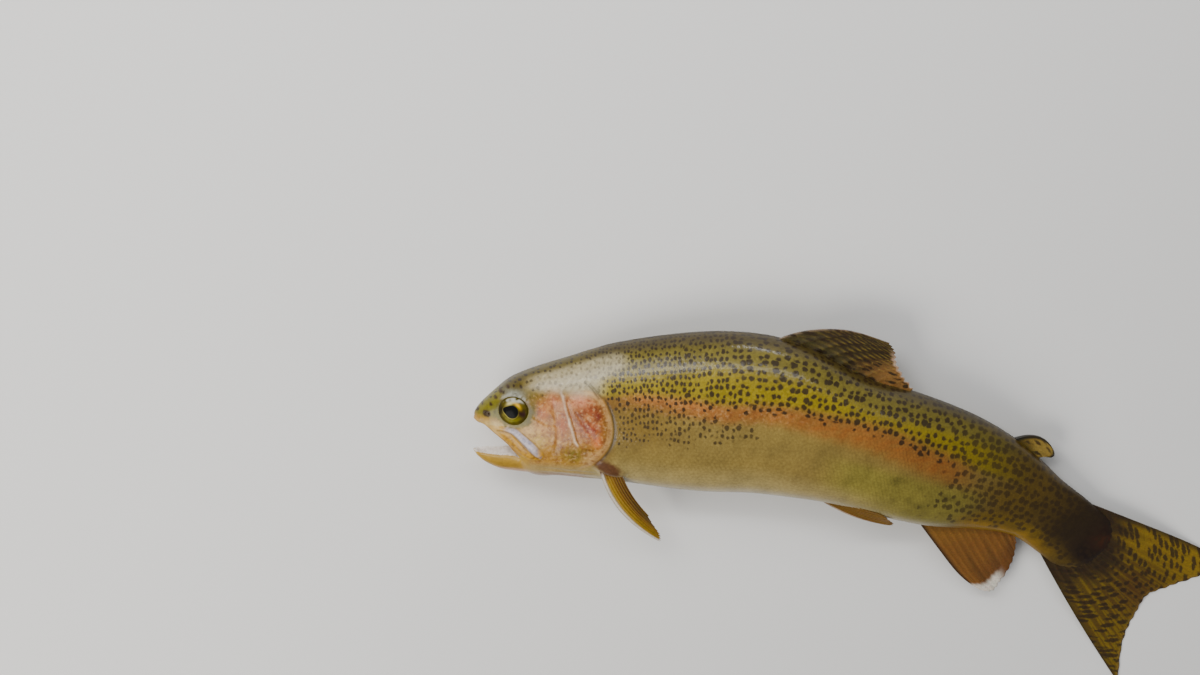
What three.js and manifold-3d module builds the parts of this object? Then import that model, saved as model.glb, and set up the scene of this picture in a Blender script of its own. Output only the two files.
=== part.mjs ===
import * as THREE from "three";
import { mergeVertices } from "three/addons/utils/BufferGeometryUtils.js";
import Module from "manifold-3d";

// A life-size rainbow trout lying on its right side on a level floor, mouth a little open and tail swept
// down. Millimetres. The floor is z = 0, the head points to -X, the back to +Y and the left side up, to +Z.
// Every shape is drawn in fish coordinates (x along the body from the snout, d towards the back from the
// body's axis, l towards the fish's left side) and then carried onto the curved axis by place().

const wasm = await Module();
wasm.setup();
const { Manifold, Mesh } = wasm;

// ---- driving dimensions ------------------------------------------------------------------------------
const BODY_LENGTH = 276.5; // snout to the last vertebra
const FLESH_END = 284; // the scaled skin runs this far over the tail fin
const HEAD_END = 50; // the head and trunk meet under the gill covers
const TRUNK_END = 236; // the trunk and tail stem meet behind the adipose fin
const ORIGIN_X = 124; // the row origin is on the floor below this place on the axis
const GAP = 0.3; // clearance between neighbouring pieces
const BODY_RINGS = 48;
const RING_POINTS = 24;
const RING_CROWD = 0.1; // how much closer the sections stand at the two ends
const EYE_POINTS = 18;
const JAW_POINTS = 16;

const TRUNK_BEND = { turn: 18.5, from: 0.37, to: 0.48 }; // degrees, shares of the body length
const TAIL_BEND = { turn: 22, from: 0.71, to: 0.955 };

const FLANK_HEIGHT = 18.8; // the axis above the floor at the trunk
const HEAD_DIP = { drop: 2.3, from: 0, to: 0.3 };
const STEM_DROP = { drop: 12.95, from: 0.5, to: 1.02 };
const FIN_DROP = { drop: 5.45, from: 0.98, to: 1.16 };

// Half sizes of the body at places along it: [x, size].
const BACK = [
  [0, 0], [2, 4], [7, 8.8], [14.5, 15.1], [22.5, 18.8], [36, 23.5], [59, 30.8], [95, 35.4], [124, 33.6],
  [153, 28.4], [178, 28.2], [201, 26], [224, 20.9], [243.5, 16], [260, 15.6], [276.5, 14.6], [284, 9.5],
];
const BELLY = [
  [0, 0], [2, 3.6], [7, 7.7], [14.5, 14.7], [22.5, 25.2], [36, 26.4], [59, 28.4], [95, 32.7], [124, 32.2],
  [153, 27.6], [178, 27], [201, 25.7], [224, 20.8], [243.5, 16], [260, 15.4], [276.5, 14.4], [284, 9],
];
const WIDTH = [
  [0, 0], [2, 3.2], [7, 6.8], [14.5, 9.6], [22.5, 11.5], [36, 13.9], [59, 16.9], [95, 18.9], [124, 19.3],
  [153, 18.6], [178, 16.9], [201, 14.1], [224, 11], [243.5, 7.9], [260, 5.5], [276.5, 3], [284, 1],
];
const HEAD_POWER = 0.74; // how square the section is: 1 is an ellipse, less is fuller
const TRUNK_POWER = 0.96;

const EYE = { x: 17, d: 4.5, l: 7.9, long: 7, high: 6.6, deep: 3.2, forward: 12, up: 12 }; // degrees of turn
// The mouth's hollow: how high its middle and half height stand at the lip and at the throat, and its share of
// the head's width.
const MOUTH = { from: 2.5, to: 34, lip: 0.6, throat: -18, high: 3.2, low: 1.8, share: 0.68 };
const JAW = { tip: -0.8, end: 26, wall: 1.7, floor: 2.6 };
const JAW_RIM = [[-0.8, 15.2], [3, 15.7], [10, 16.1], [16, 16], [26, 18.6]];
const JAW_KEEL = [[-0.8, 16.6], [1.3, 18.8], [3.8, 21], [7.8, 23.2], [11.5, 24.5], [18, 25.3], [26, 25.7]];
const JAW_WIDTH = [[-0.8, 1.3], [1.3, 3], [3.8, 4], [7.8, 4.8], [11.5, 5.4], [18, 6.6], [26, 9.2]];
const COVER = { lift: GAP, thick: 1.1 };
const BLADE = { lift: GAP, thick: 1.3 };

const COLOURS = {
  back: 0x6c5c2c, flank: 0x99703a, jaw: 0xd2bf9c, cover: 0xc0824e, blade: 0xb69a78,
  eye: 0x1d1a14, fin: 0x6a4a1e, tail: 0x6e5724, brown: 0x3a2c18,
};

// ---- numbers along the body --------------------------------------------------------------------------
function ease(from, to, value) {
  const t = THREE.MathUtils.clamp((value - from) / (to - from), 0, 1);
  return t * t * (3 - 2 * t);
}

// A smooth curve through the knots, read at x. With root set it is smooth in the square root of x, which
// rounds the end at x = 0.
function curve(knots, x, root = false) {
  const at = (v) => (root ? Math.sqrt(Math.max(v, 0)) : v);
  const last = knots.length - 1;
  const slope = (i) => {
    const a = knots[Math.max(i - 1, 0)];
    const b = knots[Math.min(i + 1, last)];
    return (b[1] - a[1]) / (at(b[0]) - at(a[0]));
  };
  const v = THREE.MathUtils.clamp(at(x), at(knots[0][0]), at(knots[last][0]));
  let i = 0;
  while (i < last - 1 && v > at(knots[i + 1][0])) i++;
  const span = at(knots[i + 1][0]) - at(knots[i][0]);
  const t = (v - at(knots[i][0])) / span;
  const rise = t * t * (3 - 2 * t);
  return (
    knots[i][1] * (1 - rise) +
    knots[i + 1][1] * rise +
    span * t * (1 - t) * ((1 - t) * slope(i) - t * slope(i + 1))
  );
}

const back = (x) => curve(BACK, x, true);
const belly = (x) => curve(BELLY, x, true);
const width = (x) => curve(WIDTH, x, true);
const power = (x) => THREE.MathUtils.lerp(HEAD_POWER, TRUNK_POWER, ease(14, 60, x));

// Half width of the body's surface at a depth d.
function widthAt(x, d) {
  const reach = Math.min(Math.abs(d) / (d > 0 ? back(x) : belly(x)), 1);
  return width(x) * (1 - reach ** (2 / power(x))) ** (power(x) / 2);
}

// ---- the curved axis ---------------------------------------------------------------------------------
function turnAt(s) {
  const share = ({ turn, from, to }) => THREE.MathUtils.degToRad(turn) * ease(from, to, s);
  return share(TRUNK_BEND) + share(TAIL_BEND);
}

const AXIS_STEP = 0.5;
const axis = [[0, 0]];
for (let x = 0; x < 1.3 * BODY_LENGTH; x += AXIS_STEP) {
  const turn = turnAt((x + AXIS_STEP / 2) / BODY_LENGTH);
  const [px, py] = axis[axis.length - 1];
  axis.push([px + Math.cos(turn) * AXIS_STEP, py - Math.sin(turn) * AXIS_STEP]);
}

const origin = axis[ORIGIN_X / AXIS_STEP];

// Fish coordinates to the row's frame.
function place([x, d, l]) {
  const s = x / BODY_LENGTH;
  const turn = turnAt(s);
  const i = Math.max(Math.floor(x / AXIS_STEP), 0);
  const on = x - i * AXIS_STEP;
  const fall = ({ drop, from, to }) => drop * ease(from, to, s);
  const height = FLANK_HEIGHT - HEAD_DIP.drop + fall(HEAD_DIP) - fall(STEM_DROP) - fall(FIN_DROP);
  return new THREE.Vector3(
    axis[i][0] - origin[0] + Math.cos(turn) * on + Math.sin(turn) * d,
    axis[i][1] - origin[1] - Math.sin(turn) * on + Math.cos(turn) * d,
    height + l,
  );
}

// ---- solids ------------------------------------------------------------------------------------------
function solid(points, faces) {
  const made = Manifold.ofMesh(
    new Mesh({
      numProp: 3,
      vertProperties: new Float32Array(points.flatMap((p) => p.toArray())),
      triVerts: new Uint32Array(faces.flat()),
    }),
  );
  if (made.volume() > 0) return made;
  return solid(points, faces.map(([a, b, c]) => [a, c, b]));
}

// Closed rings of points, joined one to the next and closed by a fan at each end.
function loft(rings) {
  const n = rings[0].length;
  const points = rings.flat();
  const faces = [];
  for (let r = 0; r + 1 < rings.length; r++)
    for (let i = 0; i < n; i++) {
      const a = r * n + i;
      const b = r * n + ((i + 1) % n);
      faces.push([a, b, a + n], [b, b + n, a + n]);
    }
  [0, rings.length - 1].forEach((r) => {
    const middle = rings[r].reduce((sum, p) => sum.add(p), new THREE.Vector3()).divideScalar(n);
    const hub = points.push(middle) - 1;
    for (let i = 0; i < n; i++) {
      const a = r * n + i;
      const b = r * n + ((i + 1) % n);
      faces.push(r ? [a, b, hub] : [b, a, hub]);
    }
  });
  return solid(points, faces);
}

// A section of the body, larger by grow all round.
function bodyRing(x, grow) {
  const ring = [];
  const p = power(x);
  const inside = THREE.MathUtils.clamp(x, 0.02, FLESH_END);
  for (let i = 0; i < RING_POINTS; i++) {
    const angle = (2 * Math.PI * i) / RING_POINTS;
    const rise = Math.sin(angle);
    const half = (rise > 0 ? back(inside) : belly(inside)) + grow;
    const side = Math.cos(angle);
    ring.push(
      place([
        x,
        half * Math.sign(rise) * Math.abs(rise) ** p,
        (width(inside) + grow) * Math.sign(side) * Math.abs(side) ** p,
      ]),
    );
  }
  return ring;
}

function body(grow) {
  const rings = [];
  for (let r = 0; r <= BODY_RINGS; r++) {
    const t = r / BODY_RINGS;
    const x = FLESH_END * (t - RING_CROWD * Math.sin(2 * Math.PI * t));
    rings.push(bodyRing(x + grow * (2 * t - 1), grow));
  }
  return loft(rings);
}

// The part of a solid between two places along the body.
function between(made, from, to) {
  const keep = (piece, x, sign) => {
    const turn = turnAt(x / BODY_LENGTH);
    const normal = [sign * Math.cos(turn), -sign * Math.sin(turn), 0];
    const on = place([x, 0, 0]);
    return piece.trimByPlane(normal, normal[0] * on.x + normal[1] * on.y);
  };
  return keep(keep(made, from, 1), to, -1);
}

const onFloor = (made) => made.trimByPlane([0, 0, 1], 0);

// A half-round trough or rod along the head: section sizes come from the three functions.
function headLoft(from, to, steps, top, high, wide, flat) {
  const rings = [];
  for (let r = 0; r <= steps; r++) {
    const x = from + ((to - from) * r) / steps;
    const ring = [];
    for (let i = 0; i < JAW_POINTS; i++) {
      const angle = (2 * Math.PI * i) / JAW_POINTS;
      const rise = Math.sin(angle);
      const d = top(x) + high(x) * (rise > 0 && flat ? 0.04 * rise : rise);
      ring.push(place([x, d, wide(x) * Math.cos(angle)]));
    }
    rings.push(ring);
  }
  return loft(rings);
}

// A thin plate that follows the body's surface inside an outline drawn in x and d, on one side of the fish.
function plateOnSurface(outline, side, { lift, thick }) {
  const path = new THREE.SplineCurve(outline.map(([x, d]) => new THREE.Vector2(x, d)));
  const ring = path.getPoints(outline.length * 3).slice(0, -1);
  const depth = 40;
  const prism = loft([
    ring.map((p) => place([p.x, p.y, 0])),
    ring.map((p) => place([p.x, p.y, side * depth])),
  ]);
  return body(lift + thick).intersect(prism).subtract(body(lift));
}

// A fin: rays run from root(t) to tip(t), t going from the first ray to the last; bow(t, v) shifts the ray
// sideways at a share v of its length. Rays stand out from the web between them.
function fin({ rays, rows, root, tip, bow, ray, web }) {
  const columns = 2 * rays - 1;
  const at = (t, v) => {
    const a = root(t);
    const b = tip(t);
    const c = bow ? bow(t, v) : [0, 0, 0];
    return place(a.map((value, i) => value + (b[i] - value) * v + c[i]));
  };
  const points = [];
  const step = 0.01;
  for (const side of [1, -1])
    for (let c = 0; c < columns; c++)
      for (let r = 0; r <= rows; r++) {
        const t = c / (columns - 1);
        const v = r / rows;
        const along = at(t, Math.min(v + step, 1)).sub(at(t, Math.max(v - step, 0)));
        const across = at(Math.min(t + step, 1), v).sub(at(Math.max(t - step, 0), v));
        const half = THREE.MathUtils.lerp(c % 2 ? web[0] : ray[0], c % 2 ? web[1] : ray[1], v) / 2;
        const normal = across.cross(along).normalize();
        points.push(at(t, v).addScaledVector(normal, side * half));
      }
  const faces = [];
  const deep = rows + 1;
  const sheet = columns * deep;
  const quad = (a, b, c, d) => faces.push([a, b, c], [a, c, d]);
  for (let c = 0; c + 1 < columns; c++)
    for (let r = 0; r < rows; r++) {
      const a = c * deep + r;
      quad(a, a + deep, a + deep + 1, a + 1);
      quad(sheet + a, sheet + a + 1, sheet + a + deep + 1, sheet + a + deep);
    }
  for (let c = 0; c + 1 < columns; c++)
    for (const r of [0, rows]) {
      const a = c * deep + r;
      const [p, q] = r ? [a + deep, a] : [a, a + deep];
      quad(p, sheet + p, sheet + q, q);
    }
  for (let r = 0; r < rows; r++)
    for (const c of [0, columns - 1]) {
      const a = c * deep + r;
      const [p, q] = c ? [a, a + 1] : [a + 1, a];
      quad(p, sheet + p, sheet + q, q);
    }
  return solid(points, faces);
}

// A point at a share t of a path given by a few corners [x, d] or [x, d, l].
function along(corners, t) {
  const path = new THREE.CatmullRomCurve3(
    corners.map(([x, d, l = 0]) => new THREE.Vector3(x, d, l)),
    false,
    "centripetal",
  );
  return path.getPoint(t).toArray();
}

// ---- the head ----------------------------------------------------------------------------------------
const clear = body(GAP);
const whole = onFloor(body(0));

// One eye, larger by grow all round, looking a little forwards and up.
function eyeBall(side, grow) {
  const sphere = new THREE.SphereGeometry(1, EYE_POINTS, EYE_POINTS / 2);
  sphere.deleteAttribute("normal");
  sphere.deleteAttribute("uv");
  const ball = mergeVertices(sphere);
  const up = THREE.MathUtils.degToRad(-side * EYE.up);
  const forward = THREE.MathUtils.degToRad(-side * EYE.forward);
  ball.scale(EYE.long + grow, EYE.high + grow, EYE.deep + grow).rotateX(up).rotateY(forward);
  ball.translate(...place([EYE.x, EYE.d, side * EYE.l]).toArray());
  const corners = ball.getAttribute("position");
  const points = [];
  for (let i = 0; i < corners.count; i++) points.push(new THREE.Vector3().fromBufferAttribute(corners, i));
  const faces = [];
  for (let i = 0; i < ball.index.count; i += 3) faces.push([0, 1, 2].map((k) => ball.index.getX(i + k)));
  return solid(points, faces);
}

const mouth = headLoft(
  MOUTH.from,
  MOUTH.to,
  8,
  (x) => THREE.MathUtils.lerp(MOUTH.lip - belly(x), MOUTH.throat, ease(10, 24, x)),
  (x) => THREE.MathUtils.lerp(MOUTH.high, MOUTH.low, ease(14, MOUTH.to, x)),
  (x) => THREE.MathUtils.lerp(MOUTH.share * width(x), 2.5, ease(18, MOUTH.to, x)),
  false,
);
const head = between(whole, -10, HEAD_END - GAP / 2)
  .subtract(mouth)
  .subtract(eyeBall(1, GAP))
  .subtract(eyeBall(-1, GAP));

const jawRim = (x) => -curve(JAW_RIM, x);
const jawDeep = (x) => curve(JAW_KEEL, x) - curve(JAW_RIM, x);
const jawWide = (x) => curve(JAW_WIDTH, x);
const jawOuter = headLoft(JAW.tip, JAW.end, 10, jawRim, jawDeep, jawWide, true);
const jawInner = headLoft(
  JAW.tip + 2,
  JAW.end + 1,
  9,
  (x) => jawRim(x) + 0.5,
  (x) => Math.max(jawDeep(x) - JAW.floor, 0.9) + 0.5,
  (x) => Math.max(jawWide(x) - JAW.wall, 0.9),
  false,
);
const lowerJaw = jawOuter.subtract(jawInner).subtract(clear).decompose()[0];

const BLADE_OUTLINE = [
  [8, -3.9], [11, -2.6], [16.6, -2.9], [21.4, -6.2], [25.4, -9.8], [28.2, -12.8], [28.2, -14.8], [26.5, -15.9],
  [22, -16.2], [16, -12], [10, -7.2],
];
const COVER_OUTLINE = [
  [33, 10.5], [38, 13.4], [44, 14.8], [49.6, 13.8], [53.6, 9.2], [56, 2], [55.6, -5.6], [52.4, -11.8],
  [47, -17.5], [40, -21.5], [31, -23], [33, -14], [34.6, -6], [33.4, 4],
];

// ---- the fins ----------------------------------------------------------------------------------------
const ROOT_DEPTH = 3.5; // how far a fin's base is drawn inside the body before it is cut to the surface

const dorsalFin = fin({
  rays: 11,
  rows: 5,
  root: (t) => [115 + 55 * t, back(115 + 55 * t) - ROOT_DEPTH, 0],
  tip: (t) => along([[155, 44.8], [158.5, 42.4], [160.8, 38.2], [165.5, 33.8], [171.5, 29.6]], t),
  bow: (t, v) => [0, 25 * v * (1 - v) * (1.4 - 0.8 * v) * (1 - t) ** 1.5, 0],
  ray: [1.3, 0.7],
  web: [0.8, 0.55],
});

const adiposeFin = fin({
  rays: 4,
  rows: 5,
  root: (t) => [217.4 + 11.5 * t, back(217.4 + 11.5 * t) - 2.7, 0],
  tip: (t) => along([[234, 24.4], [235.4, 22.8], [234.8, 21], [232.6, 20.2]], t),
  bow: (t, v) => [0, 17 * v * (1 - v) * (1 - t), 0],
  ray: [2.3, 0.9],
  web: [2.5, 1],
});

const analFin = fin({
  rays: 11,
  rows: 5,
  root: (t) => [193 + 48 * t, -belly(193 + 48 * t) + ROOT_DEPTH, 0],
  tip: (t) => along([[252, -43.6], [257.5, -40.6], [256.4, -34], [253.5, -24.5], [248, -17.6]], t),
  bow: (t, v) => [0, -26 * v * (1 - v) * (1 - t) ** 1.5, 0],
  ray: [1.2, 0.65],
  web: [0.75, 0.55],
});

const TAIL_TIPS = [
  [328.5, 33.6], [324.5, 22], [318.5, 10], [313.6, 0], [316.4, -10], [321.5, -22], [334.5, -38],
];
const caudalFin = fin({
  rays: 15,
  rows: 5,
  root: (t) => [259 + 16 * Math.sin(Math.PI * t) ** 0.8, 14.4 - 28.8 * t, 0],
  tip: (t) => along(TAIL_TIPS, t),
  bow: (t, v) => {
    const edge = 2 * t - 1;
    return [0, -4 * v * (1 - v) * edge * Math.abs(edge), 0];
  },
  ray: [1.3, 0.6],
  web: [0.8, 0.5],
});

const leftPectoral = fin({
  rays: 6,
  rows: 6,
  root: (t) => [51 + 7.6 * t, -18.6 + 3.2 * t, 11.2 + 1.4 * t],
  tip: (t) => along([[76.6, -57, -1], [77, -55, -1], [75, -51, 0], [71.5, -44, 2]], t),
  bow: (t, v) => [v * (1 - v) * (8.8 * t - 17), v * (1 - v) * (12.2 * t - 8.4), v * (1 - v) * (1.2 * t - 0.4)],
  ray: [1.5, 0.7],
  web: [1, 0.6],
});

// A point a little above the body's surface on one side.
function hug(x, d, side, lift) {
  return [x, d, side * (widthAt(x, d) + lift)];
}

const rightPectoral = fin({
  rays: 6,
  rows: 6,
  root: (t) => hug(54 + 3.5 * t, -20.5 + 5.5 * t, -1, -1.6),
  tip: (t) => along([[98, -29.4, -11.2], [98.5, -28, -12.4], [95.5, -25.5, -14], [90, -22.6, -15.6]], t),
  bow: (t, v) => [0, -5 * v * (1 - v) * (1 - t), -v * (1 - v) * (3.5 + 2 * t)],
  ray: [1.5, 0.7],
  web: [1, 0.6],
});

function pelvicFin(side) {
  return fin({
    rays: 6,
    rows: 5,
    root: (t) => [148 + 5 * t, -24.6 + 2.6 * t, side * (4.6 + 2.8 * t)],
    tip: (t) => along([[184, -29, 3.4], [185, -27.8, 4.8], [182, -25.4, 7], [177, -23.2, 9.2]], t).map(
      (value, i) => (i === 2 ? side * value : value),
    ),
    bow: (t, v) => [0, -7 * v * (1 - v) * (1 - t), side * v * (1 - v) * (5 - t)],
    ray: [1.4, 0.7],
    web: [0.9, 0.6],
  });
}

// ---- the scene ---------------------------------------------------------------------------------------
const trout = new THREE.Group();

// The largest body of a solid, as a named mesh.
function add(name, made, colour, roughness) {
  const main = made.decompose().reduce((a, b) => (b.volume() > a.volume() ? b : a));
  const { vertProperties, numProp, numVert, triVerts } = main.getMesh();
  const position = new Float32Array(numVert * 3);
  for (let i = 0; i < numVert; i++)
    for (let k = 0; k < 3; k++) position[3 * i + k] = vertProperties[numProp * i + k];
  const geometry = new THREE.BufferGeometry();
  geometry.setAttribute("position", new THREE.BufferAttribute(position, 3));
  geometry.setIndex(new THREE.BufferAttribute(new Uint32Array(triVerts), 1));
  geometry.computeVertexNormals();
  const mesh = new THREE.Mesh(geometry, new THREE.MeshStandardMaterial({ color: colour, roughness }));
  mesh.name = name;
  trout.add(mesh);
}

const offBody = (made) => onFloor(made.subtract(clear));

add("head", head, COLOURS.back, 0.35);
add("lower_jaw", lowerJaw, COLOURS.jaw, 0.35);
add("trunk", between(whole, HEAD_END + GAP / 2, TRUNK_END - GAP / 2), COLOURS.flank, 0.35);
add("tail_stem", between(whole, TRUNK_END + GAP / 2, FLESH_END + 5), COLOURS.back, 0.35);
for (const [name, side] of [["left", 1], ["right", -1]]) {
  add("eye_" + name, eyeBall(side, 0), COLOURS.eye, 0.08);
  add("gill_cover_" + name, onFloor(plateOnSurface(COVER_OUTLINE, side, COVER)), COLOURS.cover, 0.3);
  add("upper_jaw_" + name, plateOnSurface(BLADE_OUTLINE, side, BLADE), COLOURS.blade, 0.3);
  add("pelvic_fin_" + name, offBody(pelvicFin(side)), COLOURS.fin, 0.4);
}
add("pectoral_fin_left", offBody(leftPectoral.subtract(body(COVER.lift + COVER.thick + GAP))), COLOURS.fin, 0.4);
add("pectoral_fin_right", offBody(rightPectoral), COLOURS.fin, 0.4);
add("dorsal_fin", offBody(dorsalFin), COLOURS.brown, 0.4);
add("adipose_fin", offBody(adiposeFin), COLOURS.back, 0.4);
add("anal_fin", offBody(analFin), COLOURS.fin, 0.4);
add("caudal_fin", offBody(caudalFin), COLOURS.tail, 0.4);

export default trout;
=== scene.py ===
import math

import bpy
import numpy as np
from mathutils import Matrix, Vector


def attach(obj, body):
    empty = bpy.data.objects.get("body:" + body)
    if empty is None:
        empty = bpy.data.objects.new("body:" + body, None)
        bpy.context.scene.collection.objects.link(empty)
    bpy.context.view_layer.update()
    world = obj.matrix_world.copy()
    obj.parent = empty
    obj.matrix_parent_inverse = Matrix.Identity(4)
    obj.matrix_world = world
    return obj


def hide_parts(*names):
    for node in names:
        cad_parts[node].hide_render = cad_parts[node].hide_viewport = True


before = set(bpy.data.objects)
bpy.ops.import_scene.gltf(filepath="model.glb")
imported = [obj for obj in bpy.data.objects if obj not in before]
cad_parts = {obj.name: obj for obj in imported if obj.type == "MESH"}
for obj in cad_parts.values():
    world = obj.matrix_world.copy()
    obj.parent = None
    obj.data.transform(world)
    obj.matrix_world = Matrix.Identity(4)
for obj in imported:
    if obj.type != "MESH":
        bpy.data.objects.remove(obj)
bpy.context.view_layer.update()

# ---- Camera ----
# It looks down on the fish as it lies on its right side, leaning 18 degrees towards the fish's back, so the
# head, the flank and a little of the back show.
CAMERA_DISTANCE = 0.66667
camera_aim = Vector((-0.07247, 0.03537, 0.0188))
camera_lean = math.radians(18)
camera_data = bpy.data.cameras.new("camera")
camera_data.lens = 50
camera_data.sensor_width = 36
camera_data.clip_start = 0.01
camera = bpy.data.objects.new("camera", camera_data)
bpy.context.collection.objects.link(camera)
camera_back = Vector((0, math.sin(camera_lean), math.cos(camera_lean)))
camera.matrix_world = (
    Matrix.Translation(camera_aim + CAMERA_DISTANCE * camera_back) @ Matrix.Rotation(-camera_lean, 4, "X")
)
bpy.context.scene.camera = camera

# ---- Table ----
# A plain pale table top under the fish, matt and far wider than the view. It is not attached to the fish.
TABLE_HALF = 4
table_corners = [(TABLE_HALF * x, TABLE_HALF * y, 0) for x, y in ((-1, -1), (1, -1), (1, 1), (-1, 1))]
table_mesh = bpy.data.meshes.new("table")
table_mesh.from_pydata(table_corners, [], [(0, 1, 2, 3)])
table = bpy.data.objects.new("table", table_mesh)
bpy.context.collection.objects.link(table)
table_finish = bpy.data.materials.new("pale_table")
table_finish.use_nodes = True
table_paint = table_finish.node_tree.nodes["Principled BSDF"]
table_paint.inputs["Base Color"].default_value = (0.76, 0.75, 0.73, 1)
table_paint.inputs["Roughness"].default_value = 0.75
table_mesh.materials.append(table_finish)

# ---- Lights ----
# Soft boxes: a strip on the side of the back gives the long wet highlight, a low one the short highlight
# before the dorsal fin, and one over the nape the broad sheen on the head. The key beyond the head lights the
# flank without glaring on it.
fish_middle = Vector((0, 0, 0.02))


def soft_box(name, azimuth, elevation, distance, size, watts, colour=(1, 1, 1)):
    """A rectangular light that faces the fish's middle; angles in degrees, lengths in metres."""
    light = bpy.data.lights.new(name, "AREA")
    light.shape = "RECTANGLE"
    light.size, light.size_y = size
    light.energy = watts
    light.color = colour
    box = bpy.data.objects.new(name, light)
    bpy.context.collection.objects.link(box)
    around, up = math.radians(azimuth), math.radians(elevation)
    out = Vector((math.cos(up) * math.cos(around), math.cos(up) * math.sin(around), math.sin(up)))
    facing = out.to_track_quat("Z", "Y").to_matrix().to_4x4()
    box.matrix_world = Matrix.Translation(fish_middle + distance * out) @ facing


soft_box("back_strip", 94, 50, 0.95, (1.0, 0.1), 3.2)
soft_box("ridge_strip", 77, 8, 0.95, (0.34, 0.04), 1.8)
soft_box("nape_sky", 124, 42, 0.9, (0.42, 0.5), 4.1)
soft_box("head_key", 206, 42, 1.1, (0.7, 0.7), 10.5, (1, 0.97, 0.92))
world = bpy.data.worlds.new("room")
bpy.context.scene.world = world
world.use_nodes = True
room_light = world.node_tree.nodes["Background"]
room_light.inputs["Color"].default_value = (0.9, 0.94, 1, 1)
room_light.inputs["Strength"].default_value = 0.28

# ---- Skin ----
# The wet skin over the whole fish in one piece, from the lips and the inside of the mouth over the gill
# covers to the root of the tail. It is drawn in fish coordinates, millimetres: x along the body from the
# snout, d towards the back from the axis, l to the fish's left; place() carries them onto the curved axis.
BODY_LENGTH = 276.5
FLESH_END = 284.0
ORIGIN_X = 124.0
AXIS_STEP = 0.5
SKIN_INSET = 0.3
FLOOR_CLEARANCE = 0.3
HEAD_END = 66
TAIL_ROUND_START = 264
TAIL_ROUND_LENGTH = 21


def ease(start, end, value):
    """A soft step, 0 up to the start and 1 from the end on; it falls where the end comes before the start."""
    t = np.clip((np.asarray(value, float) - start) / (end - start), 0, 1)
    return t * t * (3 - 2 * t)


def smooth_curve(knots, value, root=False):
    """A curve through knots of place and value. With root it runs over the places' square roots, which makes
    its start blunt and round."""
    xs, ys = np.array(knots, float).T
    value = np.asarray(value, float)
    if root:
        xs, value = np.sqrt(xs), np.sqrt(np.maximum(value, 0))
    slopes = np.gradient(ys, xs)
    slopes[1:-1] = (ys[2:] - ys[:-2]) / (xs[2:] - xs[:-2])
    value = np.clip(value, xs[0], xs[-1])
    i = np.clip(np.searchsorted(xs, value) - 1, 0, len(xs) - 2)
    span = xs[i + 1] - xs[i]
    t = (value - xs[i]) / span
    rise = t * t * (3 - 2 * t)
    return (ys[i] * (1 - rise) + ys[i + 1] * rise
            + span * t * (1 - t) * ((1 - t) * slopes[i] - t * slopes[i + 1]))


def turn_at(s):
    """How far the axis has turned towards the belly at a share s of the body's length."""
    return np.radians(18.5) * ease(0.37, 0.48, s) + np.radians(22) * ease(0.71, 0.955, s)


axis_turns = turn_at((np.arange(0, 1.3 * BODY_LENGTH, AXIS_STEP) + AXIS_STEP / 2) / BODY_LENGTH)
axis_x = np.concatenate([[0], np.cumsum(np.cos(axis_turns) * AXIS_STEP)])
axis_y = np.concatenate([[0], np.cumsum(-np.sin(axis_turns) * AXIS_STEP)])
axis_x -= axis_x[int(ORIGIN_X / AXIS_STEP)]
axis_y -= axis_y[int(ORIGIN_X / AXIS_STEP)]


def axis_height(x):
    """Height of the body's axis above the table."""
    s = np.asarray(x) / BODY_LENGTH
    return 18.8 - 2.3 * (1 - ease(0, 0.3, s)) - 12.95 * ease(0.5, 1.02, s) - 5.45 * ease(0.98, 1.16, s)


def place(points):
    """Fish coordinates in millimetres to the frame's own, in metres."""
    x, d, l = np.asarray(points, float).T
    i = np.clip(np.floor(x / AXIS_STEP).astype(int), 0, len(axis_x) - 1)
    on = x - i * AXIS_STEP
    turn = turn_at(x / BODY_LENGTH)
    return np.stack([
        axis_x[i] + np.cos(turn) * on + np.sin(turn) * d,
        axis_y[i] - np.sin(turn) * on + np.cos(turn) * d,
        axis_height(x) + l,
    ], 1) / 1000


def line(*columns):
    """Points, one a row, from their columns."""
    return np.stack(np.broadcast_arrays(*columns), 1).astype(float)


back_knots = [
    (0, 0), (2, 4), (7, 8.8), (14.5, 15.1), (22.5, 18.8), (36, 23.5), (59, 30.8), (95, 35.4), (124, 33.6),
    (153, 28.4), (178, 28.2), (201, 26), (224, 20.9), (243.5, 16), (260, 15.6), (276.5, 14.6), (284, 9.5),
]
belly_knots = [
    (0, 0), (2, 3.6), (7, 7.7), (14.5, 14.7), (22.5, 25.2), (36, 26.4), (59, 28.4), (95, 32.7), (124, 32.2),
    (153, 27.6), (178, 27), (201, 25.7), (224, 20.8), (243.5, 16), (260, 15.4), (276.5, 14.4), (284, 9),
]
width_knots = [
    (0, 0), (2, 3.2), (7, 6.8), (14.5, 9.6), (22.5, 11.5), (36, 13.9), (59, 16.9), (95, 18.9), (124, 19.3),
    (153, 18.6), (178, 16.9), (201, 14.1), (224, 11), (243.5, 7.9), (260, 5), (272, 2.6), (284, 0.6),
]
table_x = np.concatenate([np.linspace(0.02, 4, 200), np.arange(4.05, FLESH_END + 0.01, 0.05)])
back_table = smooth_curve(back_knots, table_x, True)
belly_table = smooth_curve(belly_knots, table_x, True)
width_table = smooth_curve(width_knots, table_x, True)
power_table = 0.74 + 0.22 * ease(14, 60, table_x)
back_slope, belly_slope, width_slope = (
    np.gradient(table, table_x) for table in (back_table, belly_table, width_table)
)


def read(table, x):
    """A table's value at x along the body."""
    return np.interp(x, table_x, table)


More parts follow.
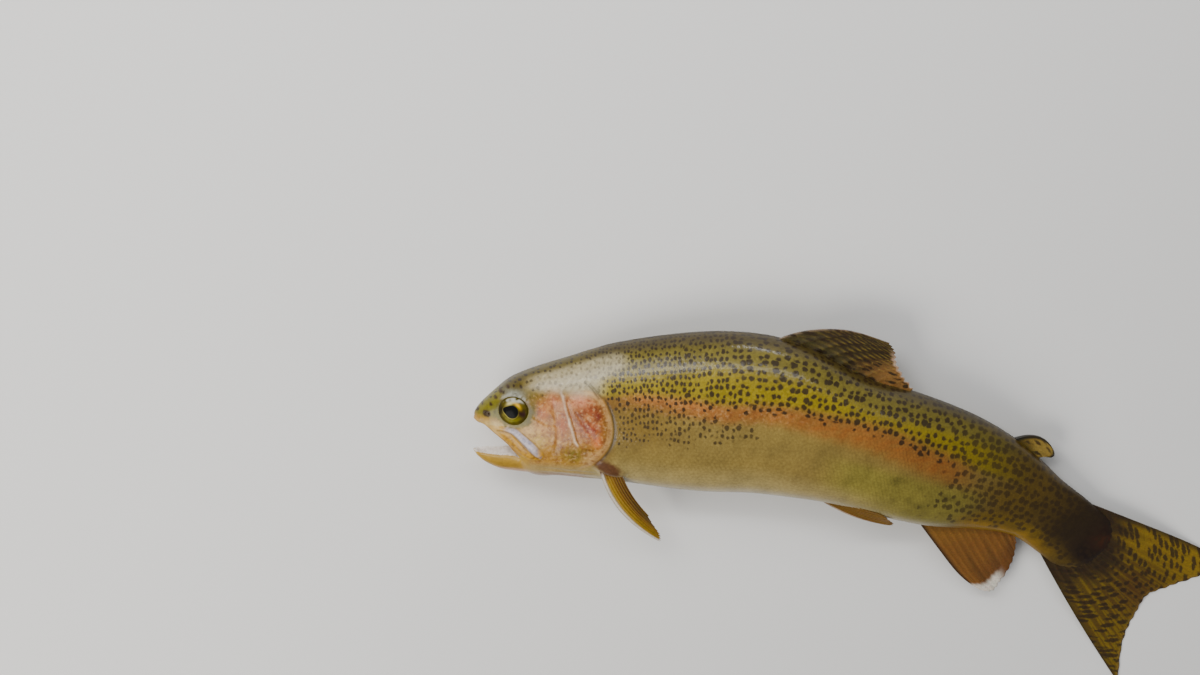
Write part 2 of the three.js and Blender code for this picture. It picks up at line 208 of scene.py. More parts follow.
def body_field(x, d, l):
    """Rough distance in millimetres outside the body's plain section (negative inside)."""
    half = np.where(d > 0, read(back_table, x), read(belly_table, x))
    lean = np.where(d > 0, read(back_slope, x), read(belly_slope, x))
    wide = read(width_table, x)
    spread = read(width_slope, x)
    e = 2 / read(power_table, x)
    u = np.maximum(np.abs(d) / half, 1e-4)
    v = np.maximum(np.abs(l) / wide, 1e-4)
    g = (u ** e + v ** e) ** (1 / e)
    scale = g ** (1 - e)
    slope = np.sqrt(
        (scale * u ** (e - 1) / half) ** 2 + (scale * v ** (e - 1) / wide) ** 2
        + (scale * (u ** e * lean / half + v ** e * spread / wide)) ** 2
    )
    return (g - 1) / slope


def join(a, b, soft):
    """Smooth union of two fields."""
    t = np.clip(0.5 + 0.5 * (b - a) / soft, 0, 1)
    return b + (a - b) * t - soft * t * (1 - t)


def cut(a, b, soft):
    """Field a with field b cut out of it, the edge rounded."""
    return -join(-a, b, soft)


def within(field, start, end, x):
    """The field kept between two planes across the body."""
    return np.maximum(np.maximum(field, start - x), x - end)


def egg(x, d, l, middle, half):
    """Rough distance outside an ellipsoid."""
    q = [(a - m) / h for a, m, h in zip((x, d, l), middle, half)]
    k = np.sqrt(q[0] ** 2 + q[1] ** 2 + q[2] ** 2) + 1e-6
    return k * (k - 1) / (np.sqrt(sum((a / h) ** 2 for a, h in zip(q, half))) + 1e-6)


def outline_field(corners, x, d, closed=True):
    """Distance in x and d from a smooth outline, negative inside it. An open line has a front, negative,
    and a rear, positive, if it runs from the back towards the belly."""
    p = np.array(corners, float)
    n = len(p)
    dense = []
    for i in range(n if closed else n - 1):
        a, b, c, e = (p[(i + k) % n] if closed else p[np.clip(i + k, 0, n - 1)] for k in (-1, 0, 1, 2))
        for t in np.arange(0, 1, 0.25):
            dense.append(0.5 * (2 * b + (c - a) * t + (2 * a - 5 * b + 4 * c - e) * t ** 2
                                + (3 * b - a - 3 * c + e) * t ** 3))
    if not closed:
        dense.append(p[-1])
    path = np.array(dense)
    near = np.full(x.shape, 1e9)
    inside = np.zeros(x.shape, bool)
    count = len(path)
    for i in range(count if closed else count - 1):
        a, b = path[i], path[(i + 1) % count]
        run = b - a
        t = np.clip(((x - a[0]) * run[0] + (d - a[1]) * run[1]) / (run @ run + 1e-12), 0, 1)
        gap = (x - a[0] - t * run[0]) ** 2 + (d - a[1] - t * run[1]) ** 2
        if closed and a[1] != b[1]:
            crosses = (a[1] > d) != (b[1] > d)
            inside ^= crosses & (x < a[0] + (d - a[1]) * run[0] / run[1])
        elif not closed:
            inside = np.where(gap < near, run[0] * (d - a[1]) < run[1] * (x - a[0]), inside)
        near = np.minimum(near, gap)
    near = np.sqrt(near)
    return np.where(inside, -near, near)


def path_field(corners, x, d):
    return outline_field(corners, x, d, closed=False)


gill_cover_outline = [
    (33, 10.5), (38, 13.4), (44, 14.8), (49.6, 13.8), (53.6, 9.2), (56, 2), (55.6, -5.6), (52.4, -11.8),
    (47, -17.5), (40, -21.5), (31, -23), (33, -14), (34.6, -6), (33.4, 4),
]
opercle_outline = [
    (37.2, 11.4), (42, 13), (48, 12.4), (51.8, 8.2), (53.8, 1.5), (53.2, -5), (50.2, -9.8), (44, -10.4),
    (41.4, -5.5), (39.8, 1), (38.2, 7),
]
upper_jaw_outline = [
    (6.5, -3.6), (11, -2.6), (16.6, -2.9), (21.4, -6.2), (25.4, -9.8), (28.2, -12.8), (28.2, -14.8),
    (26.5, -15.9), (22, -16.2), (16, -12), (10, -7.2),
]
maxilla_seam = [(10, -4.6), (15.5, -5.4), (19.5, -9), (24.5, -14.2), (26.4, -15.4)]
preopercle_ridge = [
    (35.2, 15.5), (36.6, 11.8), (37.5, 8.6), (38.6, 4.6), (39.7, 1), (40.8, -2.8), (41.5, -6.1), (42.6, -8.6),
    (43.6, -11.5), (42.6, -16), (38, -20),
]
preopercle_front = [(31, 13), (32.4, 9.5), (33.8, 3), (34.6, -3), (33.8, -9), (31, -15)]
opercle_seam = [(43.6, -11.2), (48, -10.2), (52.6, -11.2)]
cheek_groove = [(25, 3), (29, 0.5), (33.5, 0)]
eye_place = (17.0, 4.5, 7.9)
eye_lean = math.radians(12)
eye_turn = Matrix.Rotation(-eye_lean, 3, "Y") @ Matrix.Rotation(-eye_lean, 3, "X")
eye_opening = (6.0, 5.4)
nostrils = ((5.0, 2.1, 0.36), (6.3, 1.9, 0.26))
upper_lip = ((3.6, -1.7, 0), (3.2, 1.6, 3.6))
tongue = ((14.5, -20.8, 0), (8, 1.7, 3))
pectoral_root = ((55.0, -18.4, 11.8), (5.2, 2.8, 1.7))
PECTORAL_SLANT = 0.4
jaw_rim_knots = [(-0.8, 15.2), (3, 15.7), (10, 16.1), (16, 16), (26, 18.6)]
jaw_keel_knots = [(-0.8, 16.6), (1.3, 18.8), (3.8, 21), (7.8, 23.2), (11.5, 24.5), (18, 25.3), (26, 25.7)]
jaw_width_knots = [(-0.8, 1.3), (1.3, 3), (3.8, 4), (7.8, 4.8), (11.5, 5.4), (18, 6.6), (26, 9.2)]


def eye_reach(x, d):
    """Distance from the eye's middle, 1 at the rim of its opening."""
    return np.sqrt(((x - eye_place[0]) / eye_opening[0]) ** 2 + ((d - eye_place[1]) / eye_opening[1]) ** 2)


def groove(distance, half_width):
    """1 along a line and less to both sides of it."""
    return np.exp(-(distance / half_width) ** 2)


def head_relief(x, d):
    """How far the head's plates stand proud of the plain section, in millimetres."""
    lift = np.zeros(x.shape)
    cover = outline_field(gill_cover_outline, x, d)
    plate = outline_field(opercle_outline, x, d)
    rear = ease(27, 45, x)
    low_side = ease(14, 9, d)
    lift += 0.45 * ease(0.4, -2.2, cover) * rear * (0.35 + 0.65 * low_side)
    lift += 0.2 * ease(0.8, -2.4, plate) * (0.3 + 0.7 * low_side)
    lift -= 0.14 * groove(cover - 0.8, 0.7) * ease(45, 51, x) * (0.2 + 0.8 * low_side)
    lift += 0.03 * np.sin(3.2 * cover) * ease(0, -1, cover) * ease(0.2, 1.2, plate) * rear
    fan = np.arctan2(d - 13, x - 37)
    lift += 0.02 * np.sin(34 * fan) * ease(-0.5, -2, plate) * ease(3, 8, np.hypot(x - 37, d - 13))
    blade = outline_field(upper_jaw_outline, x, d)
    under_edge = 1 - 0.5 * ease(-9, -13, d)
    lift += 0.55 * ease(0.5, -1.5, blade) * ease(6, 13, x)
    lift -= 0.16 * groove(blade - 0.6, 0.5) * ease(10, 15, x) * under_edge
    lift -= 0.3 * groove(path_field(maxilla_seam, x, d), 0.45) * ease(9, 13, x)
    ridge = path_field(preopercle_ridge, x, d)
    along = ease(15, 10, d) * ease(-14, -7, d)
    lift += 0.32 * along * np.where(ridge < 0, np.exp(ridge / 2.4), np.exp(-(ridge / 0.6) ** 2))
    lift -= 0.2 * along * groove(ridge - 1.0, 0.6)
    lift -= 0.1 * groove(path_field(preopercle_front, x, d), 1.0)
    lift -= 0.15 * groove(path_field(opercle_seam, x, d), 0.6)
    lift -= 0.12 * groove(path_field(cheek_groove, x, d), 0.6)
    throat = ease(-18.5, -20.5, d) * ease(24, 30, x) * ease(52, 44, x)
    lift += 0.16 * np.sin(2.6 * (d + 0.09 * x)) * throat
    reach = eye_reach(x, d)
    lift += 0.05 * groove(reach - 1.2, 0.2)
    lift -= 0.08 * groove(reach - 1.45, 0.11) * ease(7, -3, d)
    spokes = np.sin(9 * np.arctan2(d - eye_place[1], x - eye_place[0]))
    lift += 0.05 * spokes * ease(1.45, 1.7, reach) * ease(3, 2.2, reach) * ease(8, 2, d) * ease(14, 22, x)
    return lift


RELIEF_STEP = 0.25
RELIEF_END = 69
relief_x = np.arange(-4, RELIEF_END + 1.01, RELIEF_STEP)
relief_d = np.arange(-32, 34.01, RELIEF_STEP)
relief_grid = head_relief(*np.meshgrid(relief_x, relief_d, indexing="ij"))


def between(grid, fi, fj):
    """Values of a grid at fractional places, each from the four cells round it."""
    i, j = fi.astype(int), fj.astype(int)
    a, b = fi - i, fj - j
    return (grid[i, j] * (1 - a) * (1 - b) + grid[i + 1, j] * a * (1 - b)
            + grid[i, j + 1] * (1 - a) * b + grid[i + 1, j + 1] * a * b)


def relief_at(x, d):
    fx = np.clip((x - relief_x[0]) / RELIEF_STEP, 0, len(relief_x) - 1.001)
    fd = np.clip((d - relief_d[0]) / RELIEF_STEP, 0, len(relief_d) - 1.001)
    return between(relief_grid, fx, fd) * (x < RELIEF_END)


def half_pipe(d, l, deep, wide):
    """Rough distance outside a long rounded trough of the given half sizes."""
    k = np.sqrt((d / deep) ** 2 + (l / wide) ** 2) + 1e-6
    return k * (k - 1) / np.sqrt((d / deep ** 2) ** 2 + (l / wide ** 2) ** 2 + 1e-9)


def tip_rounding(x):
    """How the lower jaw narrows to its tip, from nearly 0 to 1."""
    return np.sqrt(np.clip((x + 1.1) / 1.9, 0.02, 1))


def head_field(g, x, d, l):
    """Field g with the lower jaw, tongue, lip and pectoral root added, and the mouth, the eye's orbit and the
    nostrils cut out of it. l is taken without its sign, so both sides come out alike."""
    rim = smooth_curve(jaw_rim_knots, x)
    keel = smooth_curve(jaw_keel_knots, x)
    wide = smooth_curve(jaw_width_knots, x)
    deep = (keel - rim) * tip_rounding(x)
    across = wide * tip_rounding(x)
    jaw = cut(half_pipe(d + rim, l, deep, across), -(d + rim - 0.1), 0.7)
    jaw = within(jaw + 1.6 * ease(19, 33, x), -1.0, 34, x)
    wall = 1.4 + 0.5 * ease(8, 20, x)
    trough = half_pipe(d + rim, l, np.maximum(deep - 2.4, 0.5), np.maximum(across - wall, 0.5))
    trough = within(trough, 1.3, 27, x)
    belly = read(belly_table, np.clip(x, 0.02, 60))
    width = read(width_table, np.clip(x, 0.02, 60))
    roof_high = 3.2 * ease(24, 15, x) + 0.4
    roof_wide = 0.78 * width * ease(30, 15, x) + 0.5
    roof = within(half_pipe(d + np.minimum(belly, rim + 0.6), l, roof_high, roof_wide), 2.2, 24, x)
    throat = within(half_pipe(d + rim - 0.6, l, 1.8, np.maximum(wide - 2.6, 0.5)), 12, 34, x)
    back_mouth = np.maximum(np.maximum(join(trough, throat, 0.8), 14 - x), d + 11 + 0.25 * (x - 14))
    g = cut(g, join(roof, throat, 0.8), 0.9)
    g = join(g, cut(jaw + SKIN_INSET, trough, 0.7), 0.9)
    g = cut(g, back_mouth, 0.7)
    g = join(g, egg(x, d, l, *tongue), 0.8)
    q = [x - eye_place[0], d - eye_place[1], l - eye_place[2]]
    ex, ed, el = (sum(eye_turn[r][c] * q[r] for r in range(3)) for c in range(3))
    orbit = (np.sqrt((ex / eye_opening[0]) ** 2 + (ed / eye_opening[1]) ** 2) - 1) * eye_opening[1]
    g = cut(g, np.maximum(orbit, 0.4 - el), 0.5)
    for nx, nd, radius in nostrils:
        nl = read(width_table, nx) * 0.93
        g = cut(g, egg(x, d, l, (nx, nd, nl), (radius, radius, 1.2)), 0.3)
    g = join(g, egg(x, d, l, *upper_lip), 1.8)
    slant = PECTORAL_SLANT * (x - pectoral_root[0][0])
    return join(g, egg(x, d + slant, l, *pectoral_root), 3.8)


def skin_field(x, d, l):
    """Rough distance outside the skin, negative inside the flesh."""
    side = np.abs(l)
    f = body_field(x, d, l)
    f = np.where(x < 0, np.sqrt(np.maximum(f, 0) ** 2 + x ** 2), f)
    past = np.maximum(x - TAIL_ROUND_START, 0)
    tail_end = (np.sqrt((past / TAIL_ROUND_LENGTH) ** 2 + ((d - 1.5) / 18) ** 2) - 1) * 17
    f = cut(f, -np.where(x > 262, tail_end, x - FLESH_END), 0.01 + 6 * ease(262, 278, x))
    f = f + SKIN_INSET - relief_at(x, d) * ease(1.5, 4.5, side)
    head = x < HEAD_END
    f[head] = head_field(f[head], x[head], d[head], side[head])
    above = axis_height(np.clip(x, 0, 400)) + l - FLOOR_CLEARANCE
    return cut(f, above, 0.6)


GRID_START = -2.2
FINE_CELL = 0.39
FINE_END = 60
COARSE_CELL = 2.2
COARSE_END = 268
END_CELL = 0.8
HEIGHT_PLANES = 104
WIDTH_PLANES = 64


def grid_skin():
    """Surface nets over the skin field: one vertex in each grid cell the skin passes through."""
    steps = [np.arange(GRID_START, FINE_END, FINE_CELL)]
    steps.append(FINE_END + np.cumsum(np.linspace(FINE_CELL + 0.02, COARSE_CELL, 20)))
    steps.append(np.arange(steps[-1][-1] + COARSE_CELL, COARSE_END, COARSE_CELL))
    steps.append(np.arange(steps[-1][-1] + 1, FLESH_END + 2.5, END_CELL))
    gx = np.concatenate(steps)
    belly = read(belly_table, gx)
    low = np.minimum(-np.maximum(belly, smooth_curve(jaw_keel_knots, gx)) - 1.6, -17)
    low = np.where(gx > 30, -belly - 1.8, low)
    high = read(back_table, gx) + 1.4
    wide = read(width_table, gx) + 2.2
    gu = np.linspace(0, 1, HEIGHT_PLANES)
    gv = np.linspace(-1, 1, WIDTH_PLANES)
    shape = (len(gx), len(gu), len(gv))
    x = np.broadcast_to(gx[:, None, None], shape)
    d = np.broadcast_to((low[:, None] + (high - low)[:, None] * gu)[:, :, None], shape)
    l = np.broadcast_to((wide[:, None] * gv)[:, None, :], shape)
    field = skin_field(x.ravel(), d.ravel(), l.ravel()).reshape(shape)
    field[0], field[-1] = 1, 1
    points = np.stack([x, d, l], -1)
    total = np.zeros(tuple(n - 1 for n in shape) + (3,))
    count = np.zeros(tuple(n - 1 for n in shape))
    crossings = []
    for axis in range(3):
        first = [slice(None)] * 3
        second = [slice(None)] * 3
        first[axis], second[axis] = slice(None, -1), slice(1, None)
        f0, f1 = field[tuple(first)], field[tuple(second)]
        crosses = (f0 < 0) != (f1 < 0)
        t = np.where(crosses, f0 / np.where(crosses, f0 - f1, 1), 0)[..., None]
        at = points[tuple(first)] * (1 - t) + points[tuple(second)] * t
        others = [a for a in range(3) if a != axis]
        for a in (0, 1):
            for b in (0, 1):
                edge = [slice(None)] * 3
                cell = [slice(None)] * 3
                edge[others[0]] = slice(a, shape[others[0]] - 1 + a)
                edge[others[1]] = slice(b, shape[others[1]] - 1 + b)
                here = crosses[tuple(edge)]
                total[tuple(cell)] += np.where(here[..., None], at[tuple(edge)], 0)
                count[tuple(cell)] += here
        crossings.append((axis, others, crosses, f0 < 0))
    number = np.full(count.shape, -1)
    used = count > 0
    number[used] = np.arange(used.sum())
    verts = total[used] / count[used][:, None]
    quads = []
    for axis, others, crosses, inside in crossings:
        i = np.argwhere(crosses)
        keep = np.all((i[:, others] > 0) & (i[:, others] < np.array(shape)[others] - 1), axis=1)
        i = i[keep]
        corners = []
        for a, b in ((-1, -1), (0, -1), (0, 0), (-1, 0)):
            c = i.copy()
            c[:, others[0]] += a
            c[:, others[1]] += b
            corners.append(number[tuple(c.T)])
        q = np.stack(corners, 1)
        flip = inside[tuple(i.T)] == (axis == 1)
        q[flip] = q[flip][:, ::-1]
        quads.append(q)
    return verts, np.concatenate(quads)


def on_skin(points):
    """Moves points along the skin's slope until they lie on the skin, and gives the slope there."""
    step = 0.05
    for _ in range(3):
        here = skin_field(*points.T)
        slope = np.stack([(skin_field(*(points + step * np.eye(3)[k]).T) - here) / step for k in range(3)], 1)
        size = np.maximum((slope ** 2).sum(1), 0.15)
        points = points - np.clip(here / size, -0.6, 0.6)[:, None] * slope
    return points, slope / np.linalg.norm(slope, axis=1)[:, None]


skin_points, skin_quads = grid_skin()
skin_points, _ = on_skin(skin_points)
TOOTH_COUNT = 19
TOOTH_SIDES = 7
TOOTH_RINGS = [(-0.35, 0.2), (0.14, 0.17), (0.36, 0.1)]
TOOTH_HEIGHT = 0.58
TOOTH_SEEDS = {1: 31, -1: 37}


def teeth(side):
    """Small cones along a rim of the lower jaw, leaning in and back, their roots in the gum."""
    rng = np.random.default_rng(TOOTH_SEEDS[side])
    x = np.linspace(0.2, 16.5, TOOTH_COUNT) + rng.normal(0, 0.16, TOOTH_COUNT)
    wide = smooth_curve(jaw_width_knots, x) * tip_rounding(x)
    gums, _ = on_skin(line(x, 0.1 - smooth_curve(jaw_rim_knots, x), side * (wide - 0.7)))
    points, faces = [], []
    angle = np.arange(TOOTH_SIDES) * 2 * math.pi / TOOTH_SIDES
    for gum in gums:
        up = np.array((rng.normal(0.18, 0.08), 1, rng.normal(-0.22, 0.06) * side))
        size = rng.uniform(0.6, 1.15)
        low = len(points)
        mid, high, top = (low + k * TOOTH_SIDES for k in (1, 2, 3))
        for height, radius in TOOTH_RINGS:
            around = line(radius * np.cos(angle), 0 * angle, radius * np.sin(angle))
            points += list(gum + size * (height * up + around))
        points += [gum + size * TOOTH_HEIGHT * up, gum - size * 0.5 * up]
        for k in range(TOOTH_SIDES):
            n = (k + 1) % TOOTH_SIDES
            faces += [(low + k, mid + k, mid + n, low + n), (mid + k, high + k, high + n, mid + n)]
            faces += [(high + k, top, high + n), (low + n, top + 1, low + k)]
    return np.array(points), faces


def piece_from(name, points, faces, finish):
    """A named mesh object from fish coordinates and faces."""
    mesh = bpy.data.meshes.new(name)
    mesh.from_pydata(place(points).tolist(), [], [tuple(int(i) for i in f) for f in faces])
    mesh.validate()
    mesh.shade_smooth()
    mesh.materials.append(finish)
    made = bpy.data.objects.new(name, mesh)
    bpy.context.collection.objects.link(made)
    return made


def store(mesh, name, values):
    """Keeps a number, a vector or a colour for each of a mesh's points, as the values' width asks."""
    values = np.asarray(values, float)
    width = values.shape[1] if values.ndim > 1 else 1
    kind, slot = {1: ("FLOAT", "value"), 3: ("FLOAT_VECTOR", "vector"), 4: ("FLOAT_COLOR", "color")}[width]
    mesh.attributes.new(name, kind, "POINT").data.foreach_set(slot, values.ravel())


def store_tone(mesh, colours):
    store(mesh, "tone", np.concatenate([colours, np.ones((len(colours), 1))], axis=1))


# The skin's own unwrap: how far round the girth a point lies from the line along the middle of the flank,
# towards the back (+) or the belly (-), in millimetres.
GIRTH_STEP = 2.0
girth_x = np.arange(0, FLESH_END + GIRTH_STEP, GIRTH_STEP)
girth_angle = np.linspace(0, math.pi / 2, 91)


def girth_table(half_table):
    """Length round the girth from the flank's middle to each angle, for each x."""
    power = read(power_table, girth_x)[:, None]
    d = read(half_table, girth_x)[:, None] * np.sin(girth_angle) ** power
    l = read(width_table, girth_x)[:, None] * np.cos(girth_angle) ** power
    arc = np.cumsum(np.hypot(np.diff(d, axis=1), np.diff(l, axis=1)), axis=1)
    return np.concatenate([np.zeros((len(girth_x), 1)), arc], axis=1)


girth_back = girth_table(back_table)
girth_belly = girth_table(belly_table)


def girth_at(x, d, l):
    """Length round the girth from the flank's middle to a point near the skin."""
    x = np.clip(x, 0.5, FLESH_END - 0.5)
    up = d > 0
    power = 1 / read(power_table, x)
    half = np.where(up, read(back_table, x), read(belly_table, x))
    angle = np.arctan2((np.abs(d) / half) ** power, (np.abs(l) / read(width_table, x)) ** power)
    along_x = x / GIRTH_STEP
    along_arc = np.clip(angle / (math.pi / 2) * 90, 0, 89.999)
    return np.where(up, between(girth_back, along_x, along_arc), -between(girth_belly, along_x, along_arc))


# The spots sit in a lattice of cells, smallest just behind the head: how long and how tall a cell is.
spot_length_knots = [(0, 2.8), (44, 2.0), (54, 1.6), (80, 1.8), (110, 2.5), (180, 3.1), (284, 3.1)]
spot_rise_knots = [(0, 3.0), (44, 2.6), (54, 2.4), (80, 2.6), (110, 3.0), (180, 3.3), (284, 3.3)]
spot_column = np.cumsum(GIRTH_STEP / smooth_curve(spot_length_knots, girth_x))


def spot_lattice(x, d, l):
    """Columns along the body; rows from the left belly over the back to the right belly."""
    round_body = girth_at(x, d, l)
    ridge = np.interp(x, girth_x, girth_back[:, -1])
    round_body = np.where(l < 0, 2 * ridge - round_body, round_body)
    return line(np.interp(x, girth_x, spot_column), round_body / smooth_curve(spot_rise_knots, x), 0)


stripe_knots = [
    (50, 10), (62, 11), (80, 9.8), (100, 7.2), (120, 8.2), (150, 9.6), (168, 9), (190, 5.6), (210, 3),
]
stripe_half_knots = [(50, 2.8), (80, 3.2), (100, 3.7), (125, 4.3), (150, 5.4), (190, 6), (210, 5)]


def painted_nape_glare(x, d):
    """Where a pale glare is painted on the skin behind the head, from 0 to 1: a painted reflection of light
    on the wet nape.
    """
    top = d / read(back_table, np.clip(x, 1, FLESH_END))
    rear = 52 + 9 * ease(19, 25, d) - 7 * ease(27.5, 30, d)
    return ease(19, 28, x) * ease(rear + 4, rear - 3, x) * ease(11.5, 15, d) * ease(0.96, 0.88, top)


def spotting(x, d):
    """How many of the lattice's cells hold a spot, the spots' radius in cells, and how dark they are."""
    back = read(back_table, np.clip(x, 1, FLESH_END))
    top = d / back
    stripe = smooth_curve(stripe_knots, x)
    half = smooth_curve(stripe_half_knots, x)
    above = ease(stripe - 0.2 * half, stripe + 0.9 * half, d)
    below = ease(stripe - 0.4 * half, stripe - 1.1 * half, d)
    front_flank = ease(50, 56, x) * ease(125, 95, x) * ease(-9, -2, d)
    stem = ease(184, 210, x)
    many = 1.1 * above + 0.85 * below * front_flank + 0.6 * (1 - above) * (1 - below) * ease(110, 62, x)
    many = np.maximum(many, 1.05 * stem * ease(-0.86, -0.5, d / read(belly_table, np.clip(x, 1, FLESH_END))))
    large = 0.37 - 0.05 * ease(0.8, 0.92, top) - 0.05 * below * (1 - stem) - 0.025 * above * (1 - stem)
    dark = 0.92 - 0.25 * stem - 0.12 * below * (1 - stem)
    head = ease(58, 44, x)
    crown = ease(0.5, 0.75, top) * ease(3, 8, d)
    many = many * (1 - head) + head * 0.8 * crown
    large = large * (1 - head) + head * (0.27 - 0.04 * ease(14, 4, x))
    # Spots show only faintly under the painted glare behind the head.
    dark = (dark * (1 - head) + head * 0.9) * (1 - 0.6 * painted_nape_glare(x, d))
    many = many * ease(0.2, 1.6, outline_field(gill_cover_outline, np.minimum(x, 70), d))
    return np.stack([many, large, dark], 1)


RICHNESS = 1.2
DEPTH = 0.72


def ink(red, green, blue):
    """A paint colour given in screen values, in linear light and a little richer and deeper."""
    c = np.array([red, green, blue]) / 255
    c = np.where(c <= 0.04045, c / 12.92, ((c + 0.055) / 1.055) ** 2.4)
    grey = c @ (0.21, 0.72, 0.07)
    return np.clip(DEPTH * (grey + RICHNESS * (c - grey)), 0.003, 0.95)


def plain(colour, like):
    """One paint colour for every value in a list."""
    return np.tile(ink(*colour), (len(like), 1))


def layers(tone, *coats):
    """Lays coats of paint over a tone, one after another; each is a colour and how much of it shows."""
    for colour, amount in coats:
        tone = tone + (ink(*colour) - tone) * np.asarray(amount)[:, None]
    return tone


def patch(x, d, at, size):
    """A soft oval."""
    return np.exp(-((x - at[0]) / size[0]) ** 2 - ((d - at[1]) / size[1]) ** 2)


def blot(x, d, at, size):
    """An oval with a clear edge."""
    return ease(1.2, 0.75, np.hypot((x - at[0]) / size[0], (d - at[1]) / size[1]))


def ripple(x, d, l, length):
    """Soft cloudy variation from -1 to 1, from a few crossing waves."""
    rng = np.random.default_rng(int(10 * length))
    total = np.zeros(np.shape(x))
    for _ in range(7):
        way = rng.normal(size=3)
        way *= 2 * math.pi / length / np.linalg.norm(way) * rng.uniform(0.7, 1.4)
        total += np.sin(way[0] * x + way[1] * d + way[2] * l + rng.uniform(0, 6.28))
    return total / 3.5


def skin_tone(x, d, l):
    """The skin's ground colour, without spots, darkened towards the tail as painted shade."""
    inner = np.clip(x, 1, FLESH_END)
    top = d / read(back_table, inner)
    low = -d / read(belly_table, inner)
    stripe = smooth_curve(stripe_knots, x)
    half = smooth_curve(stripe_half_knots, x)
    cloud, smudge, fine, grainy = (ripple(x, d, l, length) for length in (16, 7, 5, 2.4))
    smudge = ease(0.1, 0.9, smudge) * ease(150, 170, x) * ease(226, 210, x)
    band = np.exp(-np.abs((d - stripe - 0.5 * fine) / half) ** 3)
    bright = np.exp(-((d - stripe - 2) / 2.2) ** 2)
    under = ease(0.5, 0.8, low + 0.05 * fine) * ease(204, 220, x)
    end_patch = patch(x, d, (277, 6.5), (5.5, 5)) * (1 + 0.5 * fine)
    tone = layers(
        plain((142, 122, 74), x),
        ((130, 106, 56), ease(98, 62, x) * ease(-14, 0, d)),
        ((148, 136, 76), ease(138, 160, x) * ease(222, 205, x) * ease(1, -5, d)),
        ((92, 84, 44), 0.45 * smudge * ease(0, -4, d) * ease(-18, -13, d)),
        ((174, 156, 108), ease(0.4, 0.8, low) * ease(190, 150, x)),
        ((196, 184, 156), ease(0.78, 0.98, low) * ease(238, 200, x)),
        ((150, 133, 58), ease(stripe + 0.4 * half, stripe + 1.3 * half, d)),
        ((126, 114, 60), ease(0.6, 0.8, top)),
        ((82, 70, 40), ease(0.84, 0.98, top)),
        ((160, 102, 58), band * (0.3 + 0.55 * ease(60, 96, x)) * ease(214, 192, x) * (0.9 + 0.2 * grainy)),
        ((196, 132, 84), 0.6 * bright * ease(56, 70, x) * ease(105, 88, x)),
        ((102, 82, 40), ease(196, 232, x + 4 * cloud)),
        ((56, 42, 22), ease(232, 262, x) * ease(0.75, 0.1, low)),
        ((158, 124, 50), under * ease(268, 250, x)),
        ((124, 100, 42), ease(0.3, 0.55, low) * ease(206, 226, x) * ease(262, 246, x) * (1 - under)),
        ((40, 26, 14), ease(262, 274, x) * ease(-11, -4, d)),
        ((84, 48, 24), np.clip(0.55 * end_patch, 0, 1)),
    )
    # The cloudy change of tone is the skin's own; the darkening towards the tail is painted shade.
    tone *= ((1 + 0.10 * cloud + 0.07 * fine) * (1 - 0.25 * ease(110, 210, x)))[:, None]
    return np.clip(head_tone(tone, x, d, l, fine), 0.002, 0.95)


# Soft patches of colour on the head, two of them painted highlights: the colour, its place, its half sizes
# and how much of it shows.
head_patches = (
    ((222, 184, 128), (23.5, -3), (3.6, 2.6), 0.9),
    ((206, 176, 92), (27, -7.5), (3.4, 3.8), 0.85),
    ((190, 106, 52), (28, 5), (3.4, 3.8), 0.9),
    ((106, 92, 18), (24.6, 6.5), (2.1, 4.8), 0.95),
    ((222, 172, 118), (29.5, -2), (3.2, 2.6), 0.7),
    ((214, 150, 122), (33, 10), (3.2, 3.4), 0.85),
    ((170, 96, 20), (36.4, 1), (2.6, 6), 0.95),
    ((232, 170, 144), (43.5, 10), (5.4, 3.0), 0.95),
    ((132, 70, 26), (43, 5.4), (3.4, 2.4), 0.9),
    ((146, 74, 34), (48, 7.5), (3.6, 3), 0.85),
    # A painted highlight: a small whitish glare on the gill cover.
    ((232, 186, 150), (46.8, 4.4), (2.4, 0.6), 0.6),
    ((116, 42, 10), (51, 5.2), (2.5, 2.4), 0.95),
    ((164, 90, 0), (47.5, -0.8), (5, 3.6), 1.0),
    ((140, 66, 16), (44.5, 1.6), (2.8, 1.6), 0.8),
    ((216, 136, 96), (50.6, -6.2), (2.3, 2.6), 0.9),
    ((122, 110, 38), (41, -12.5), (5.6, 3.6), 1.0),
    ((148, 124, 40), (47, -13.5), (4, 3), 0.75),
    ((216, 190, 134), (9, -2.4), (7, 1.7), 0.9),
    # A painted reflection: the pale glare on the skin over the eye.
    ((176, 180, 168), (17, 11.6), (4.2, 1.4), 0.5),
)
snout_spots = (
    ((5.6, 1.9), (1.8, 1.5)), ((1.0, 3.0), (1.1, 1.3)), ((7.3, 6), (0.8, 0.7)), ((11.2, 11.4), (0.9, 0.7)),
    ((3.6, 5.2), (0.7, 0.6)), ((9.2, 8.9), (0.8, 0.7)), ((14.4, 13.4), (0.9, 0.6)), ((9.0, 3.4), (0.6, 0.8)),
)
shoulder_folds = ([(45.2, 17.8), (48, 15.6), (50.8, 12)], [(47.4, 17.4), (49.8, 15), (52, 12.2)])


